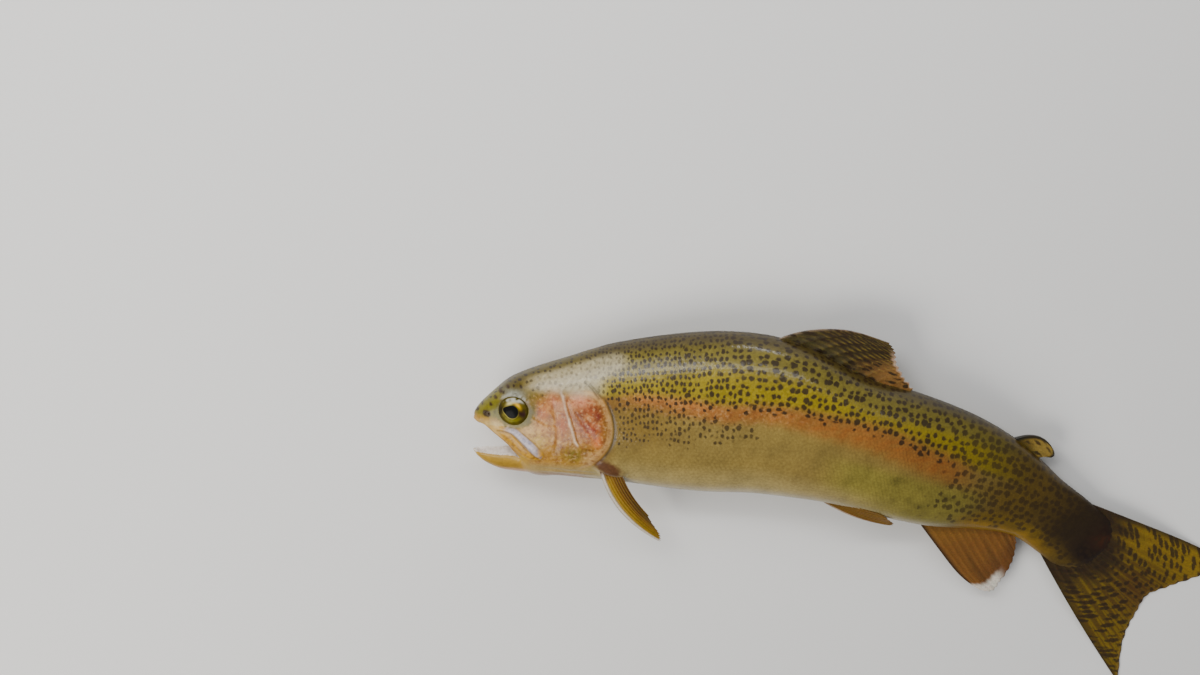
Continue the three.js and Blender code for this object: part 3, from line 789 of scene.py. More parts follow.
def head_tone(tone, x, d, l, fine):
    """The tone with the head's own colours over it, and painted highlights and shade, from the snout to the
    rear edge of the gill cover.
    """
    head = ease(57, 50, x)
    inner = np.clip(x, 1, FLESH_END)
    belly = read(belly_table, inner)
    top = d / read(back_table, inner)
    cover, plate, blade = (
        outline_field(outline, x, d) for outline in (gill_cover_outline, opercle_outline, upper_jaw_outline)
    )
    ridge, seam = (path_field(path, x, d) for path in (preopercle_ridge, maxilla_seam))
    reach = eye_reach(x, d)
    mottle = 0.8 * ripple(x, d, l, 2.6) + 0.7 * ripple(x, d, l, 1.5)
    made = layers(
        plain((176, 134, 72), x),
        ((124, 106, 42), ease(0.36, 0.58, top)),
        ((90, 78, 34), ease(0.85, 1, top)),
        ((84, 72, 8), 0.9 * ease(26, 18, x) * ease(8, 11.5, d + 0.3 * (x - 15))),
        ((118, 110, 48), ease(13, 9, x) * ease(-1.5, 2, d)),
        ((170, 146, 100), ease(-16, -20, d)),
        ((164, 146, 146), 0.6 * ease(-21.5, -24, d) * ease(14, 24, x)),
    )
    on_head = np.maximum(ease(1.5, 0.3, cover), ease(54, 42, x + 1.2 * mottle))
    made = tone + (made - tone) * (on_head * head * (1 - ease(42, 54, x) * ease(-17, -20, d)))[:, None]
    cheek = patch(x, d, (29, -1), (8, 9)) + patch(x, d, (40, -9), (7, 6))
    made = layers(
        made,
        # A painted reflection: the pale glare of light on the wet nape.
        ((198, 187, 158), 0.8 * painted_nape_glare(x, d) * (0.85 + 0.15 * mottle)),
        *((colour, amount * patch(x, d, at, size) * head) for colour, at, size, amount in head_patches),
        *(((56, 38, 8), 0.95 * blot(x + 0.2 * mottle, d, at, size)) for at, size in snout_spots),
        ((236, 200, 140), 0.36 * cheek * ease(0.3, 1.0, mottle) * head),
        ((146, 84, 30), 0.55 * cheek * ease(-0.3, -1.0, mottle) * head),
    )
    warm = np.maximum(patch(x, d, (47.5, 0.5), (6.5, 7)), 0.6 * patch(x, d, (37, 2), (4, 7))) * head
    made = made * (1 - np.outer(warm, (0.06, 0.33, 0.72)))
    on_plate = ease(0, -1.5, plate) * head
    on_blade = ease(0.3, -0.3, blade)
    behind = groove(cover - 1.1, 0.65) * ease(46, 52, x) * (cover > -0.5) * ease(15, 10, d)
    streak = groove(ridge + 0.15 + 0.2 * mottle, 0.5) * (0.8 + 0.2 * fine)
    ahead = ease(2, 5, np.abs(x - eye_place[0]))
    over = ease(0, 3, d - eye_place[1])
    jaw_side = ease(24, 19, x) * ease(-14.6, -15.2, d)
    made = layers(
        made,
        ((236, 168, 124), 0.3 * on_plate * ease(0.35, 1.1, mottle)),
        ((132, 44, 14), 0.45 * on_plate * ease(-0.3, -1.1, mottle) * ease(-9, -2, d)),
        ((204, 168, 122), 0.8 * ease(-0.2, 0.9, plate) * ease(0.6, -0.3, cover) * ease(42, 48, x)),
        ((124, 74, 30), 0.3 * groove(plate, 0.7) * ease(46, 50, x) * ease(-11, -6, d) * ease(12, 8, d)),
        # Painted shade: a dark line in the groove just behind the gill cover's rear edge.
        ((66, 50, 24), 0.85 * behind),
        ((246, 232, 216), 0.95 * streak * ease(14.5, 11, d) * ease(-9.5, -7, d)),
        # Painted shade: a brown line in the groove behind the preopercle's ridge.
        ((112, 52, 26), 0.35 * groove(ridge - 0.9, 0.6) * ease(12, 9, d) * ease(-9, -6, d)),
        ((196, 150, 66), on_blade),
        ((136, 96, 36), 0.7 * on_blade * ease(-0.1, 0.7, mottle) * ease(-5, -8, d)),
        ((104, 84, 60), 0.5 * groove(blade - 0.2, 0.35) * ease(13, 17, x) * ease(28, 24, x) * (seam > 0)),
        ((206, 198, 206), 0.92 * on_blade * ease(-0.1, 0.8, seam) * ease(11, 16, x) * ease(28.5, 24, x)),
        ((150, 146, 160), 0.7 * on_blade * ease(0.2, 0.6, seam) * ease(0.1, 0.9, mottle) * ease(11, 16, x)),
        ((214, 178, 116), on_blade * ease(13, 9, x)),
        ((104, 78, 40), 0.3 * groove(blade - 0.5, 0.4) * ease(9, 13, x) * ease(-7, -14, d)),
        ((92, 68, 34), 0.7 * groove(seam + 0.15 * mottle, 0.4) * on_blade),
        ((40, 34, 18), (0.35 + 0.45 * np.maximum(ahead, over)) * groove(reach - 1.0, 0.13)),
        ((98, 94, 34), 0.85 * ease(1.6, 1.2, reach + 0.12 * mottle) * ease(9, 3, d)),
        # A painted highlight: a pale line of glare on the orbit's upper rim.
        ((190, 190, 176), 0.6 * groove(reach - 1.2, 0.12) * ease(8, 9.6, d) * ease(0, 0.8, 1 + mottle)),
        ((84, 74, 34), 0.6 * groove(reach - 1.12, 0.1) * ease(21, 23, x) * ease(12, 6, d)),
        # Painted shade: dark lines along two folds of the shoulder, which have no relief of their own.
        *(((58, 48, 28), 0.75 * groove(path_field(fold, x, d), 0.35) * head) for fold in shoulder_folds),
        ((182, 146, 72), jaw_side),
        ((146, 114, 52), 0.6 * jaw_side * ease(-18, -20.5, d)),
        ((200, 164, 140), jaw_side * ease(-21.5, -24, d)),
    )
    made = mouth_tone(made, x, d, np.abs(l), belly, mottle)
    deeper = 0.12 * ease(22, 30, x) * ease(58, 54, x) * ease(14, 11, d) * ease(-18, -12, d)
    return made * (1 + 0.06 * fine * head)[:, None] * (1 - np.outer(deeper, (0.6, 1.3, 2.4)))


def mouth_tone(made, x, d, side, belly, mottle):
    """The tone with the pale inside of the mouth, the warm throat behind it and the brown fin root."""
    rim = smooth_curve(jaw_rim_knots, x)
    wide = smooth_curve(jaw_width_knots, x)
    outer = read(width_table, np.clip(x, 1, FLESH_END)) * np.sqrt(np.clip(1 - (d / belly) ** 2, 0, 1))
    into_jaw = half_pipe(d + rim, side, smooth_curve(jaw_keel_knots, x) - rim, wide)
    inside_jaw = ease(-0.45, -0.85, into_jaw) * ease(23, 19, x) * (np.abs(d + rim + 2) < 3) * (x > 0.2)
    inside_top = (side < outer - 1.6) * (d < -0.8 * belly) * (x > 1.2) * (x < 20)
    deep_mouth = (side < np.minimum(wide - 1.2, outer - 0.6)) * (np.abs(d + rim + 0.55) < 3.05)
    base = np.sqrt(((x - 54.6) / 4.8) ** 2 + ((d + 18.4 + 0.4 * (x - 54.6)) / 2.9) ** 2) + 0.12 * mottle
    made = made + (np.array((0.88, 0.83, 0.78)) - made) * inside_jaw[:, None]
    return layers(
        made,
        ((224, 190, 160), inside_top),
        ((190, 110, 60), deep_mouth * ease(28, 25, x) * ease(17, 22, x)),
        ((84, 46, 28), 0.92 * ease(1.6, 0.7, base) * (side > 9)),
        ((104, 68, 44), 0.4 * ease(0.8, 0.3, base) * ease(-0.2, 0.6, mottle) * (side > 9)),
    )


def add_paint(piece, points, first_tooth):
    """Gives the skin's points their colour, spot lattice, spotting and specks: the head's own, and on the
    flank's stripe painted glints; teeth are white.
    """
    x, d, l = np.asarray(points).T
    tone = skin_tone(x, d, l)
    tone[first_tooth:] = (0.82, 0.79, 0.7)
    cover = outline_field(gill_cover_outline, x, d)
    cheek = ease(20, 25, x) * ease(38, 34, x) * ease(1.35, 1.6, eye_reach(x, d))
    fleck = np.maximum(ease(0.5, -0.8, cover), cheek) * ease(14, 10.5, d) * ease(-20, -16, d)
    fleck *= ease(0.2, 0.7, outline_field(upper_jaw_outline, x, d))
    stripe = np.exp(-np.abs((d - smooth_curve(stripe_knots, x)) / 5) ** 2)
    # On the stripe the specks are painted glints of light on the wet scales.
    fleck = np.maximum(fleck, 0.8 * stripe * ease(57, 62, x) * ease(150, 105, x))
    fleck *= 1 - groove(path_field(preopercle_ridge, x, d) + 0.15, 0.7)
    store(piece.data, "fleck", fleck)
    store_tone(piece.data, tone)
    store(piece.data, "lattice", spot_lattice(x, d, l))
    store(piece.data, "spotting", spotting(x, d))


def add_node(tree, kind, values=(), **settings):
    """Adds a node. A value for one of its sockets is set, or linked where it is another node's socket."""
    node = tree.nodes.new(kind)
    for key, value in settings.items():
        setattr(node, key, value)
    for socket, value in dict(values).items():
        if isinstance(value, bpy.types.NodeSocket):
            tree.links.new(value, node.inputs[socket])
        else:
            node.inputs[socket].default_value = value
    return node


class Wiring:
    """Short ways to add and join the nodes of a material."""

    def __init__(self, name):
        self.finish = bpy.data.materials.new(name)
        self.finish.use_nodes = True
        self.tree = self.finish.node_tree
        self.surface = self.tree.nodes["Principled BSDF"]

    def put(self, kind, values=(), **settings):
        return add_node(self.tree, kind, values, **settings)

    def attribute(self, name, output="Color"):
        return self.put("ShaderNodeAttribute", attribute_name=name).outputs[output]

    def sum(self, operation, *values):
        return self.put("ShaderNodeMath", dict(enumerate(values)), operation=operation).outputs[0]

    def blend(self, amount, a, b, how="MIX"):
        node = self.put("ShaderNodeMix", {0: amount, 6: a, 7: b}, data_type="RGBA", blend_type=how)
        return node.outputs[2]

    def shade(self, colour, *factors):
        """The colour times one factor, or times one each for red, green and blue."""
        each = {i: factors[i % len(factors)] for i in range(3)}
        return self.blend(1.0, colour, self.put("ShaderNodeCombineColor", each).outputs[0], "MULTIPLY")

    def ramp(self, value, low, high, to_low=0.0, to_high=1.0):
        values = {"Value": value, "From Min": low, "From Max": high, "To Min": to_low, "To Max": to_high}
        return self.put("ShaderNodeMapRange", values, interpolation_type="SMOOTHSTEP").outputs[0]

    def noise(self, vector, scale, detail=3.0, rough=0.55, output=0):
        values = {"Vector": vector, "Scale": scale, "Detail": detail, "Roughness": rough}
        return self.put("ShaderNodeTexNoise", values).outputs[output]

    def place(self):
        return self.put("ShaderNodeTexCoord").outputs["Object"]

    def bump(self, height, strength, distance):
        values = {"Height": height, "Strength": strength, "Distance": distance}
        return self.put("ShaderNodeBump", values).outputs[0]

    def feed(self, socket, value):
        self.tree.links.new(value, self.surface.inputs[socket])

    def set(self, **values):
        for socket, value in values.items():
            self.surface.inputs[socket.replace("_", " ")].default_value = value


SPOT_COLOUR = (46, 33, 6)
SPOT_STIR = 0.62
SPOT_EDGE = 0.12


def paint_spots(w, ground, place):
    """Dark rounded spots over a ground colour: at most one in each cell of the lattice."""
    share = w.put("ShaderNodeSeparateXYZ", {0: w.attribute("spotting", "Vector")}).outputs
    stir = w.noise(place, 560, 2.0, 0.5, "Color")
    stir = w.put("ShaderNodeVectorMath", {0: stir, 1: (0.5, 0.5, 0.5)}, operation="SUBTRACT").outputs[0]
    stir = w.put("ShaderNodeVectorMath", {0: stir, "Scale": SPOT_STIR}, operation="SCALE").outputs[0]
    at = {0: w.attribute("lattice", "Vector"), 1: stir}
    at = w.put("ShaderNodeVectorMath", at, operation="ADD").outputs[0]
    cells = w.put(
        "ShaderNodeTexVoronoi", {"Vector": at, "Scale": 1.0, "Randomness": 0.6}, voronoi_dimensions="2D"
    ).outputs
    chance = w.put("ShaderNodeSeparateColor", {0: cells["Color"]}).outputs
    there = w.ramp(w.sum("SUBTRACT", share[0], chance[0]), -0.16, 0.2)
    radius = w.sum("MULTIPLY", share[1], w.sum("MULTIPLY_ADD", chance[1], 0.5, 0.75))
    radius = w.sum("MULTIPLY", radius, there)
    edge = w.ramp(cells["Distance"], w.sum("ADD", radius, SPOT_EDGE), w.sum("SUBTRACT", radius, SPOT_EDGE))
    mask = w.sum("MULTIPLY", w.sum("MULTIPLY", edge, there), share[2])
    return w.blend(mask, ground, (*ink(*SPOT_COLOUR), 1))


def wet_skin(name, rim=None):
    """Wet, mucus-coated skin in the piece's own colours and spots; rim darkens the edge of each scale."""
    w = Wiring(name)
    place = w.place()
    grain = w.noise(place, 900, 4.0, 0.6)
    grains = [w.ramp(grain, 0.25, 0.75, 0.84 - 0.02 * i, 1.16 + 0.02 * i) for i in range(3)]
    ground = w.shade(w.attribute("tone"), *grains)
    fleck = w.attribute("fleck", "Fac")
    dark = w.sum("MULTIPLY", fleck, w.ramp(w.noise(place, 460), 0.52, 0.36, 0, 0.6))
    ground = w.blend(dark, ground, w.blend(1.0, ground, (0.5, 0.32, 0.16, 1), "MULTIPLY"))
    # Pale specks: the head's own, and on the stripe painted glints.
    light = w.sum("MULTIPLY", fleck, w.ramp(w.noise(place, 760, 2.0, 0.5), 0.5, 0.7, 0, 0.3))
    ground = w.blend(light, ground, (0.62, 0.38, 0.17, 1))
    colour = paint_spots(w, ground, place)
    if rim:
        colour = w.shade(colour, w.ramp(w.attribute(rim, "Fac"), 0.4, 1.0, 1.01, 0.95))
    w.feed("Base Color", colour)
    w.feed("Roughness", w.ramp(grain, 0.2, 0.8, 0.36, 0.52))
    w.feed("Normal", w.bump(w.noise(place, 1500), 0.25, 0.00012))
    w.set(Coat_Weight=0.35, Coat_Roughness=0.16, Specular_IOR_Level=0.18)
    return w.finish


skin_faces = list(skin_quads)
gum_count = len(skin_points)
for side in (1, -1):
    tooth_points, tooth_faces = teeth(side)
    skin_faces += [tuple(len(skin_points) + i for i in f) for f in tooth_faces]
    skin_points = np.concatenate([skin_points, tooth_points])
skin = piece_from("skin", skin_points, skin_faces, wet_skin("wet_skin"))
add_paint(skin, skin_points, gum_count)
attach(skin, "root")
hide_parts("head", "trunk", "tail_stem", "gill_cover_left", "gill_cover_right", "lower_jaw",
            "upper_jaw_left", "upper_jaw_right")

# ---- Eyes ----
# A bulging wet ball in each orbit: a black pupil drawn out to a point towards the snout, a thin pale ring
# round it, a golden arc over it and dark bars before and behind. The rim of the skin holds it.
EYE_HALF = (6.8, 6.4, 3.2)
EYE_ROOT = -1.2
PUPIL_RADIUS = 2.65
EYE_SPOKES = 120
EYE_RINGS = 56


def eye_paint(p, q):
    """Colour at p mm behind and q mm above the pupil's middle, with a glare painted over the eye's top."""
    edge = np.hypot(p, 1.08 * q)
    radius = np.hypot(p + 0.3, q + 0.6)
    angle = np.arctan2(q + 0.6, p + 0.3)
    fibres = 0.5 + 0.5 * np.sin(angle * 47 + 3 * np.sin(radius * 3))
    cloud = ripple(p, q, 0 * p, 2.2)

    def toward(middle, spread):
        away = np.angle(np.exp(1j * (angle - math.radians(middle))))
        return np.exp(-(away / math.radians(spread)) ** 2)

    tone = layers(
        plain((92, 82, 34), p),
        ((134, 122, 52), 0.5 * fibres * ease(5, 3.2, radius)),
        ((124, 120, 46), 0.8 * toward(-90, 56) * groove(radius - 3.7, 0.7)),
        ((232, 184, 70), toward(56, 36) * groove(radius - 3.7, 0.6)),
        ((228, 216, 160), 0.9 * toward(110, 22) * groove(radius - 3.6, 0.7)),
        ((46, 24, 28), 0.95 * toward(-8, 25) * ease(2.6, 3.0, radius) * ease(6, 5, radius)),
        ((36, 30, 20), 0.9 * toward(172, 24) * ease(3.4, 4.2, radius)),
        ((46, 40, 20), 0.7 * ease(4.9, 5.7, edge) * (0.55 + 0.45 * np.cos(2 * angle))),
        # A painted reflection: a pale glare over the top of the eye.
        ((196, 194, 180), 0.85 * ease(2.6, 3.9, q) * ease(5.7, 5.1, edge) * ease(-0.9, 0.2, cloud)),
    )
    pupil = PUPIL_RADIUS + 1.3 * toward(168, 27)
    ring = np.clip(toward(222, 44) + 0.5 * toward(290, 40), 0, 1) * (0.85 + 0.3 * cloud)
    tone = layers(
        tone * (1 + 0.22 * cloud)[:, None],
        ((222, 208, 136), 0.85 * groove(radius - pupil - 0.2, 0.15) * ring),
        ((8, 5, 12), ease(pupil + 0.12, pupil - 0.1, radius)),
    )
    return np.clip(tone, 0.002, 0.95)


def eye_mesh(side):
    """Points, faces and colours of an eyeball, domed in front and drawn to a point in the flesh behind."""
    share = np.linspace(0, 1, EYE_RINGS)[1:] ** 0.9
    spokes = np.arange(EYE_SPOKES)
    r, a = (grid.ravel() for grid in np.meshgrid(share, spokes * 2 * math.pi / EYE_SPOKES, indexing="ij"))
    p, q = EYE_HALF[0] * r * np.cos(a), EYE_HALF[1] * r * np.sin(a)
    z = EYE_HALF[2] * np.sqrt(1 - r ** 2) - 0.16 * groove(np.hypot(p, q) - 4.1, 0.9)
    points = np.concatenate([[[0, 0, EYE_HALF[2]]], np.stack([p, q, z], 1), [[0, 0, EYE_ROOT]]])
    pairs = list(zip(spokes, (spokes + 1) % EYE_SPOKES))
    faces = [(0, 1 + i, 1 + j) for i, j in pairs]
    for ring in range(EYE_RINGS - 2):
        low, high = 1 + ring * EYE_SPOKES, 1 + (ring + 1) * EYE_SPOKES
        faces += [(low + i, high + i, high + j, low + j) for i, j in pairs]
    last = 1 + (EYE_RINGS - 2) * EYE_SPOKES
    faces += [(last + i, len(points) - 1, last + j) for i, j in pairs]
    colours = eye_paint(points[:, 0], points[:, 1])
    points = points @ np.array(eye_turn).T + eye_place
    points[:, 2] *= side
    if side < 0:
        faces = [f[::-1] for f in faces]
    return points, faces, colours


def wet_eye():
    w = Wiring("wet_eye")
    w.feed("Base Color", w.attribute("tone"))
    w.set(Roughness=0.5, Specular_IOR_Level=0.04, Coat_Weight=0.1, Coat_Roughness=0.16, Coat_IOR=1.4)
    return w.finish


eye_finish = wet_eye()
for name, side in (("left", 1), ("right", -1)):
    points, faces, colours = eye_mesh(side)
    eye = piece_from("eyeball_" + name, points, faces, eye_finish)
    store_tone(eye.data, colours)
    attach(eye, "root")
    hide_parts("eye_" + name)

# ---- Fins ----
# Thin webs over soft rays that fork towards the edge, wet and a little frayed. Each grows out of the skin
# along its base. t runs from the first ray to the last and v from root to tip; bow bends the rays between.
COLUMNS_PER_RAY = 12
FIN_ROWS = 64


def along(corners, t):
    """A point at a share t of a smooth path through a few corners."""
    points = np.array([tuple(c) + (0,) * (3 - len(c)) for c in corners], float)
    points = np.concatenate([[2 * points[0] - points[1]], points, [2 * points[-1] - points[-2]]])
    at = np.clip(np.asarray(t, float), 0, 1) * (len(corners) - 1)
    i = np.minimum(at.astype(int), len(corners) - 2)
    w = (at - i)[:, None]
    p0, p1, p2, p3 = (points[i + k] for k in range(4))
    g0, g1, g2 = (np.linalg.norm(b - a, axis=1)[:, None] ** 0.5 for a, b in ((p0, p1), (p1, p2), (p2, p3)))
    m1 = g1 * ((p1 - p0) / g0 - (p2 - p0) / (g0 + g1) + (p2 - p1) / g1)
    m2 = g1 * ((p2 - p1) / g1 - (p3 - p1) / (g1 + g2) + (p3 - p2) / g2)
    rise = w * w * (3 - 2 * w)
    return p1 + (p2 - p1) * rise + w * (1 - w) * ((1 - w) * m1 - w * m2)


def fin_sheet(rays, root, tip, bow, ray, web, notch=0.9, wave=0.3, seed=1):
    """Points, faces and where each point is: t, v, how far up its ray's ridge, and mm from the root. ray and
    web give their thicknesses at the root and at the tip, notch how deep the web is cut between the rays."""
    rng = np.random.default_rng(seed)
    columns = (rays - 1) * COLUMNS_PER_RAY + 1
    t = np.linspace(0, 1, columns)
    number = t * (rays - 1)
    whole = np.round(number).astype(int)
    off = number - whole
    length = np.linalg.norm(tip(t) - root(t), axis=1)
    short = notch * (0.5 - 0.5 * np.cos(2 * math.pi * number)) + rng.uniform(0, 0.5 * notch, rays)[whole]
    reach = 1 - short / np.maximum(length, 1)
    v = np.linspace(0, 1, FIN_ROWS)[:, None] * reach

    def middle(t_at, v_at):
        flat_t = np.broadcast_to(t_at, v_at.shape).ravel()
        flat_v = v_at.ravel()
        a, b = root(flat_t), tip(flat_t)
        return (a + (b - a) * flat_v[:, None] + line(*bow(flat_t, flat_v))).reshape(v_at.shape + (3,))

    points = middle(t, v)
    up = middle(t, v + 0.01) - middle(t, v - 0.01)
    over = middle(np.minimum(t + 0.01, 1), v) - middle(np.maximum(t - 0.01, 0), v)
    normal = np.cross(over, up)
    normal /= np.linalg.norm(normal, axis=2)[..., None]
    fork = 0.25 * ease(0.35, 1, v)
    twig = 0.115 * ease(0.66, 1.02, v)
    thin = 0.2 - 0.1 * ease(0.3, 0.8, v)
    away = np.minimum(np.abs(off - fork), np.abs(off + fork))
    away = np.where(v > 0.66, np.abs(away - twig), away)
    ridge = groove(away, thin)
    web_thick = web[0] + (web[1] - web[0]) * v
    ray_thick = ray[0] + (ray[1] - ray[0]) * v
    half = 0.5 * (web_thick + (ray_thick - web_thick) * ridge)
    half *= 1 - 0.6 * ease(0.93, 1, v / reach)
    ripples = wave * v ** 2 * np.sin(4.2 * math.pi * t + 2.5 * v + seed)
    ripples = ripples - 0.05 * np.cos(2 * math.pi * number) * ease(0.1, 0.5, v)
    points = points + normal * ripples[..., None]
    sheets = [points + normal * half[..., None], points - normal * half[..., None]]
    count = FIN_ROWS * columns
    grid = np.arange(count).reshape(FIN_ROWS, columns)
    a, b, c, e = grid[:-1, :-1], grid[:-1, 1:], grid[1:, 1:], grid[1:, :-1]
    front = np.stack([a, b, c, e], -1).reshape(-1, 4)
    rim = np.concatenate([grid[0, :], grid[1:, -1], grid[-1, -2::-1], grid[-2:0:-1, 0]])
    following = np.roll(rim, -1)
    wall = np.stack([following, rim, rim + count, following + count], 1)
    faces = np.concatenate([front, front[:, ::-1] + count, wall])
    where = np.stack([np.broadcast_to(t, v.shape), v / reach, ridge, length * v], -1).reshape(-1, 4)
    return np.concatenate([s.reshape(-1, 3) for s in sheets]), faces, np.tile(where, (2, 1))


def wet_fin():
    w = Wiring("wet_fin")
    place = w.place()
    grain = w.noise(place, 1400)
    spotted = paint_spots(w, w.attribute("tone"), place)
    w.feed("Base Color", w.shade(spotted, w.ramp(grain, 0.25, 0.75, 0.82, 1.18)))
    joints = w.sum("SINE", w.attribute("segments", "Fac"))
    w.feed("Normal", w.bump(w.sum("ADD", w.sum("MULTIPLY", joints, 0.3), grain), 0.3, 0.00012))
    w.set(Roughness=0.5, Coat_Weight=0.25, Coat_Roughness=0.16, Specular_IOR_Level=0.25)
    w.set(Subsurface_Weight=0.1, Subsurface_Scale=0.001)
    return w.finish


fin_finish = wet_fin()
SEGMENT_LENGTH = 0.8
TABLE_CLEARANCE = 0.00015


def grow_fin(name, node, sheet, colour, spots):
    """A fin piece held clear of the table. colour and spots take t, v, ray ridge and mm from the root."""
    points, faces, where = sheet
    fin = piece_from(name, points, faces, fin_finish)
    count = len(points)
    at = np.empty(count * 3)
    fin.data.vertices.foreach_get("co", at)
    at = at.reshape(-1, 3)
    upper = at[: count // 2, 2] > at[count // 2:, 2]
    lift = np.where(np.concatenate([upper, ~upper]), 3 * TABLE_CLEARANCE, TABLE_CLEARANCE)
    at[:, 2] = np.maximum(at[:, 2], lift)
    fin.data.vertices.foreach_set("co", at.ravel())
    store_tone(fin.data, np.clip(colour(*where.T), 0.002, 0.95))
    lattice, spotted = spots(*where.T)
    store(fin.data, "lattice", lattice)
    store(fin.data, "spotting", spotted)
    store(fin.data, "segments", where[:, 3] * 2 * math.pi / SEGMENT_LENGTH)
    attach(fin, "root")
    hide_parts(node)


def no_spots(t, v, ridge, run):
    return line(0 * t, 0, 0), line(0 * t, 0, 0)


def side_at(x, d):
    """Half the body's width at a height d."""
    power = read(power_table, x)
    half = np.where(d > 0, read(back_table, x), read(belly_table, x))
    share = np.minimum(np.abs(d) / half, 1)
    return read(width_table, x) * (1 - share ** (2 / power)) ** (power / 2)


def edge_root(start, length, sunk, half_table, way):
    """A fin's base along the edge of the back (way 1) or of the belly (way -1), sunk into the flesh."""
    def root(t):
        x = start + length * t
        return line(x, way * (read(half_table, x) - sunk), 0)

    return root


ROOT_DEPTH = 3.5
dorsal = fin_sheet(
    rays=11,
    root=edge_root(115, 55, ROOT_DEPTH, back_table, 1),
    tip=lambda t: along([(155, 44.8), (158.5, 42.4), (160.8, 38.2), (165.5, 33.8), (171.5, 29.6)], t),
    bow=lambda t, v: (0, 25 * v * (1 - v) * (1.4 - 0.8 * v) * (1 - t) ** 1.5, 0),
    ray=(1.15, 0.5), web=(0.6, 0.35), seed=3,
)


def dorsal_colour(t, v, ridge, run):
    dashes = np.sin(run * 2.4) * np.sin(t * 28)
    return layers(
        plain((52, 40, 16), t),
        ((128, 110, 58), (0.3 + 0.4 * ridge) * ease(-0.1, 0.5, dashes)),
        ((158, 118, 74), 0.8 * ease(0.35, 0.75, t)),
        ((96, 88, 56), 0.5 * ease(0.35, 0.1, v)),
        ((200, 172, 148), 0.9 * ease(0.9, 0.985, v) * ease(0.15, 0.5, t)),
        ((150, 130, 110), 0.6 * ease(0.03, 0.0, t)),
    )


def dorsal_spots(t, v, ridge, run):
    return line(run / 2.6, t * 9 + 0.35, 0), line(0.8 * ease(0.95, 0.85, v), 0.33, 0.9)


grow_fin("dorsal_fin_rays", "dorsal_fin", dorsal, dorsal_colour, dorsal_spots)

adipose = fin_sheet(
    rays=5,
    root=edge_root(217.4, 11.5, 2.7, back_table, 1),
    tip=lambda t: along([(234, 24.4), (235.4, 22.8), (234.8, 21), (232.6, 20.2)], t),
    bow=lambda t, v: (0, 17 * v * (1 - v) * (1 - t), 0),
    ray=(2.2, 0.8), web=(2.2, 0.8), notch=0, wave=0.15, seed=5,
)


def adipose_colour(t, v, ridge, run):
    edge = np.maximum(ease(0.16, 0.05, t), ease(0.86, 0.97, v))
    return layers(plain((156, 132, 76), t), ((92, 76, 34), ease(0.45, 0.1, v)), ((26, 22, 14), 0.95 * edge))


def adipose_spots(t, v, ridge, run):
    return line(run / 3.4 + 0.2, t * 2.6 + 0.4, 0), line(0.75 + 0 * t, 0.3, 0.85)


grow_fin("adipose_flap", "adipose_fin", adipose, adipose_colour, adipose_spots)

anal = fin_sheet(
    rays=12,
    root=edge_root(193, 48, ROOT_DEPTH, belly_table, -1),
    tip=lambda t: along([(252, -43.6), (257.5, -40.6), (256.4, -34), (253.5, -24.5), (248, -17.6)], t),
    bow=lambda t, v: (0, -26 * v * (1 - v) * (1 - t) ** 1.5, 0),
    ray=(0.9, 0.42), web=(0.64, 0.32), notch=0.6, seed=7,
)


def anal_colour(t, v, ridge, run):
    return layers(
        plain((124, 86, 48), t),
        ((150, 106, 60), 0.3 * ridge),
        ((84, 60, 32), 0.4 * ease(0.2, 0.9, np.sin(t * 23 + 2 * v)) * ease(0.2, 0.6, v)),
        ((150, 114, 62), 0.6 * ease(0.35, 0.0, v)),
        ((84, 52, 32), 0.5 * ease(0.5, 0.85, v) * ease(0.1, 0.4, t)),
        ((48, 34, 24), 0.9 * ease(0.06, 0.0, t) * ease(0.92, 0.8, v)),
        ((236, 228, 214), ease(0.84, 0.92, v) * ease(0.62, 0.42, t)),
    )


grow_fin("anal_fin_rays", "anal_fin", anal, anal_colour, no_spots)

tail_tips = [
    (328.5, 33.6), (324.5, 22), (318.5, 10), (313.6, 0), (316.4, -10), (321.5, -22), (334.5, -38),
]
caudal = fin_sheet(
    rays=17,
    root=lambda t: line(259 + 16 * np.sin(math.pi * t) ** 0.8, 14.4 - 28.8 * t, 0),
    tip=lambda t: along(tail_tips, t),
    bow=lambda t, v: (0, -4 * v * (1 - v) * (2 * t - 1) * np.abs(2 * t - 1), 0),
    ray=(1.1, 0.42), web=(0.6, 0.3), notch=0.6, wave=0.25, seed=11,
)


def caudal_colour(t, v, ridge, run):
    middle = groove(t - 0.52, 0.2)
    return layers(
        plain((92, 72, 32), t),
        ((138, 116, 50), 0.7 * ridge),
        ((146, 120, 48), 0.7 * ease(0.42, 0.12, t)),
        ((74, 48, 26), 0.7 * middle * ease(0.3, 0.8, v)),
        ((44, 34, 18), 0.8 * np.maximum(ease(0.05, 0.0, t), ease(0.97, 1.0, t))),
        ((52, 38, 20), 0.95 * ease(0.52, 0.22, v + 0.05 * np.sin(t * 40) + 0.08 * np.sin(t * 9))),
        ((150, 124, 76), 0.5 * ease(0.96, 1, v)),
    )


def caudal_spots(t, v, ridge, run):
    return line(run / 3.1, (t - 0.5) * (7 + 11 * v) + 20, 0), line(0.9 + 0 * t, 0.35, 0.85)


grow_fin("tail_fin_rays", "caudal_fin", caudal, caudal_colour, caudal_spots)


def pectoral_colour(t, v, ridge, run):
    return layers(
        plain((126, 88, 28), t),
        ((164, 132, 36), ease(0.6, 0.2, t)),
        ((90, 56, 26), 0.9 * ease(0.4, 0.7, t)),
        ((176, 146, 66), 0.45 * ridge),
        ((86, 52, 34), 0.9 * ease(0.2, 0.04, v)),
        ((222, 212, 198), 0.95 * ease(0.19, 0.11, t) * ease(0.03, 0.1, v)),
    )


def right_pectoral_root(t):
    x, d = 54 + 3.5 * t, -20.5 + 5.5 * t
    return line(x, d, 1.6 - side_at(x, d))


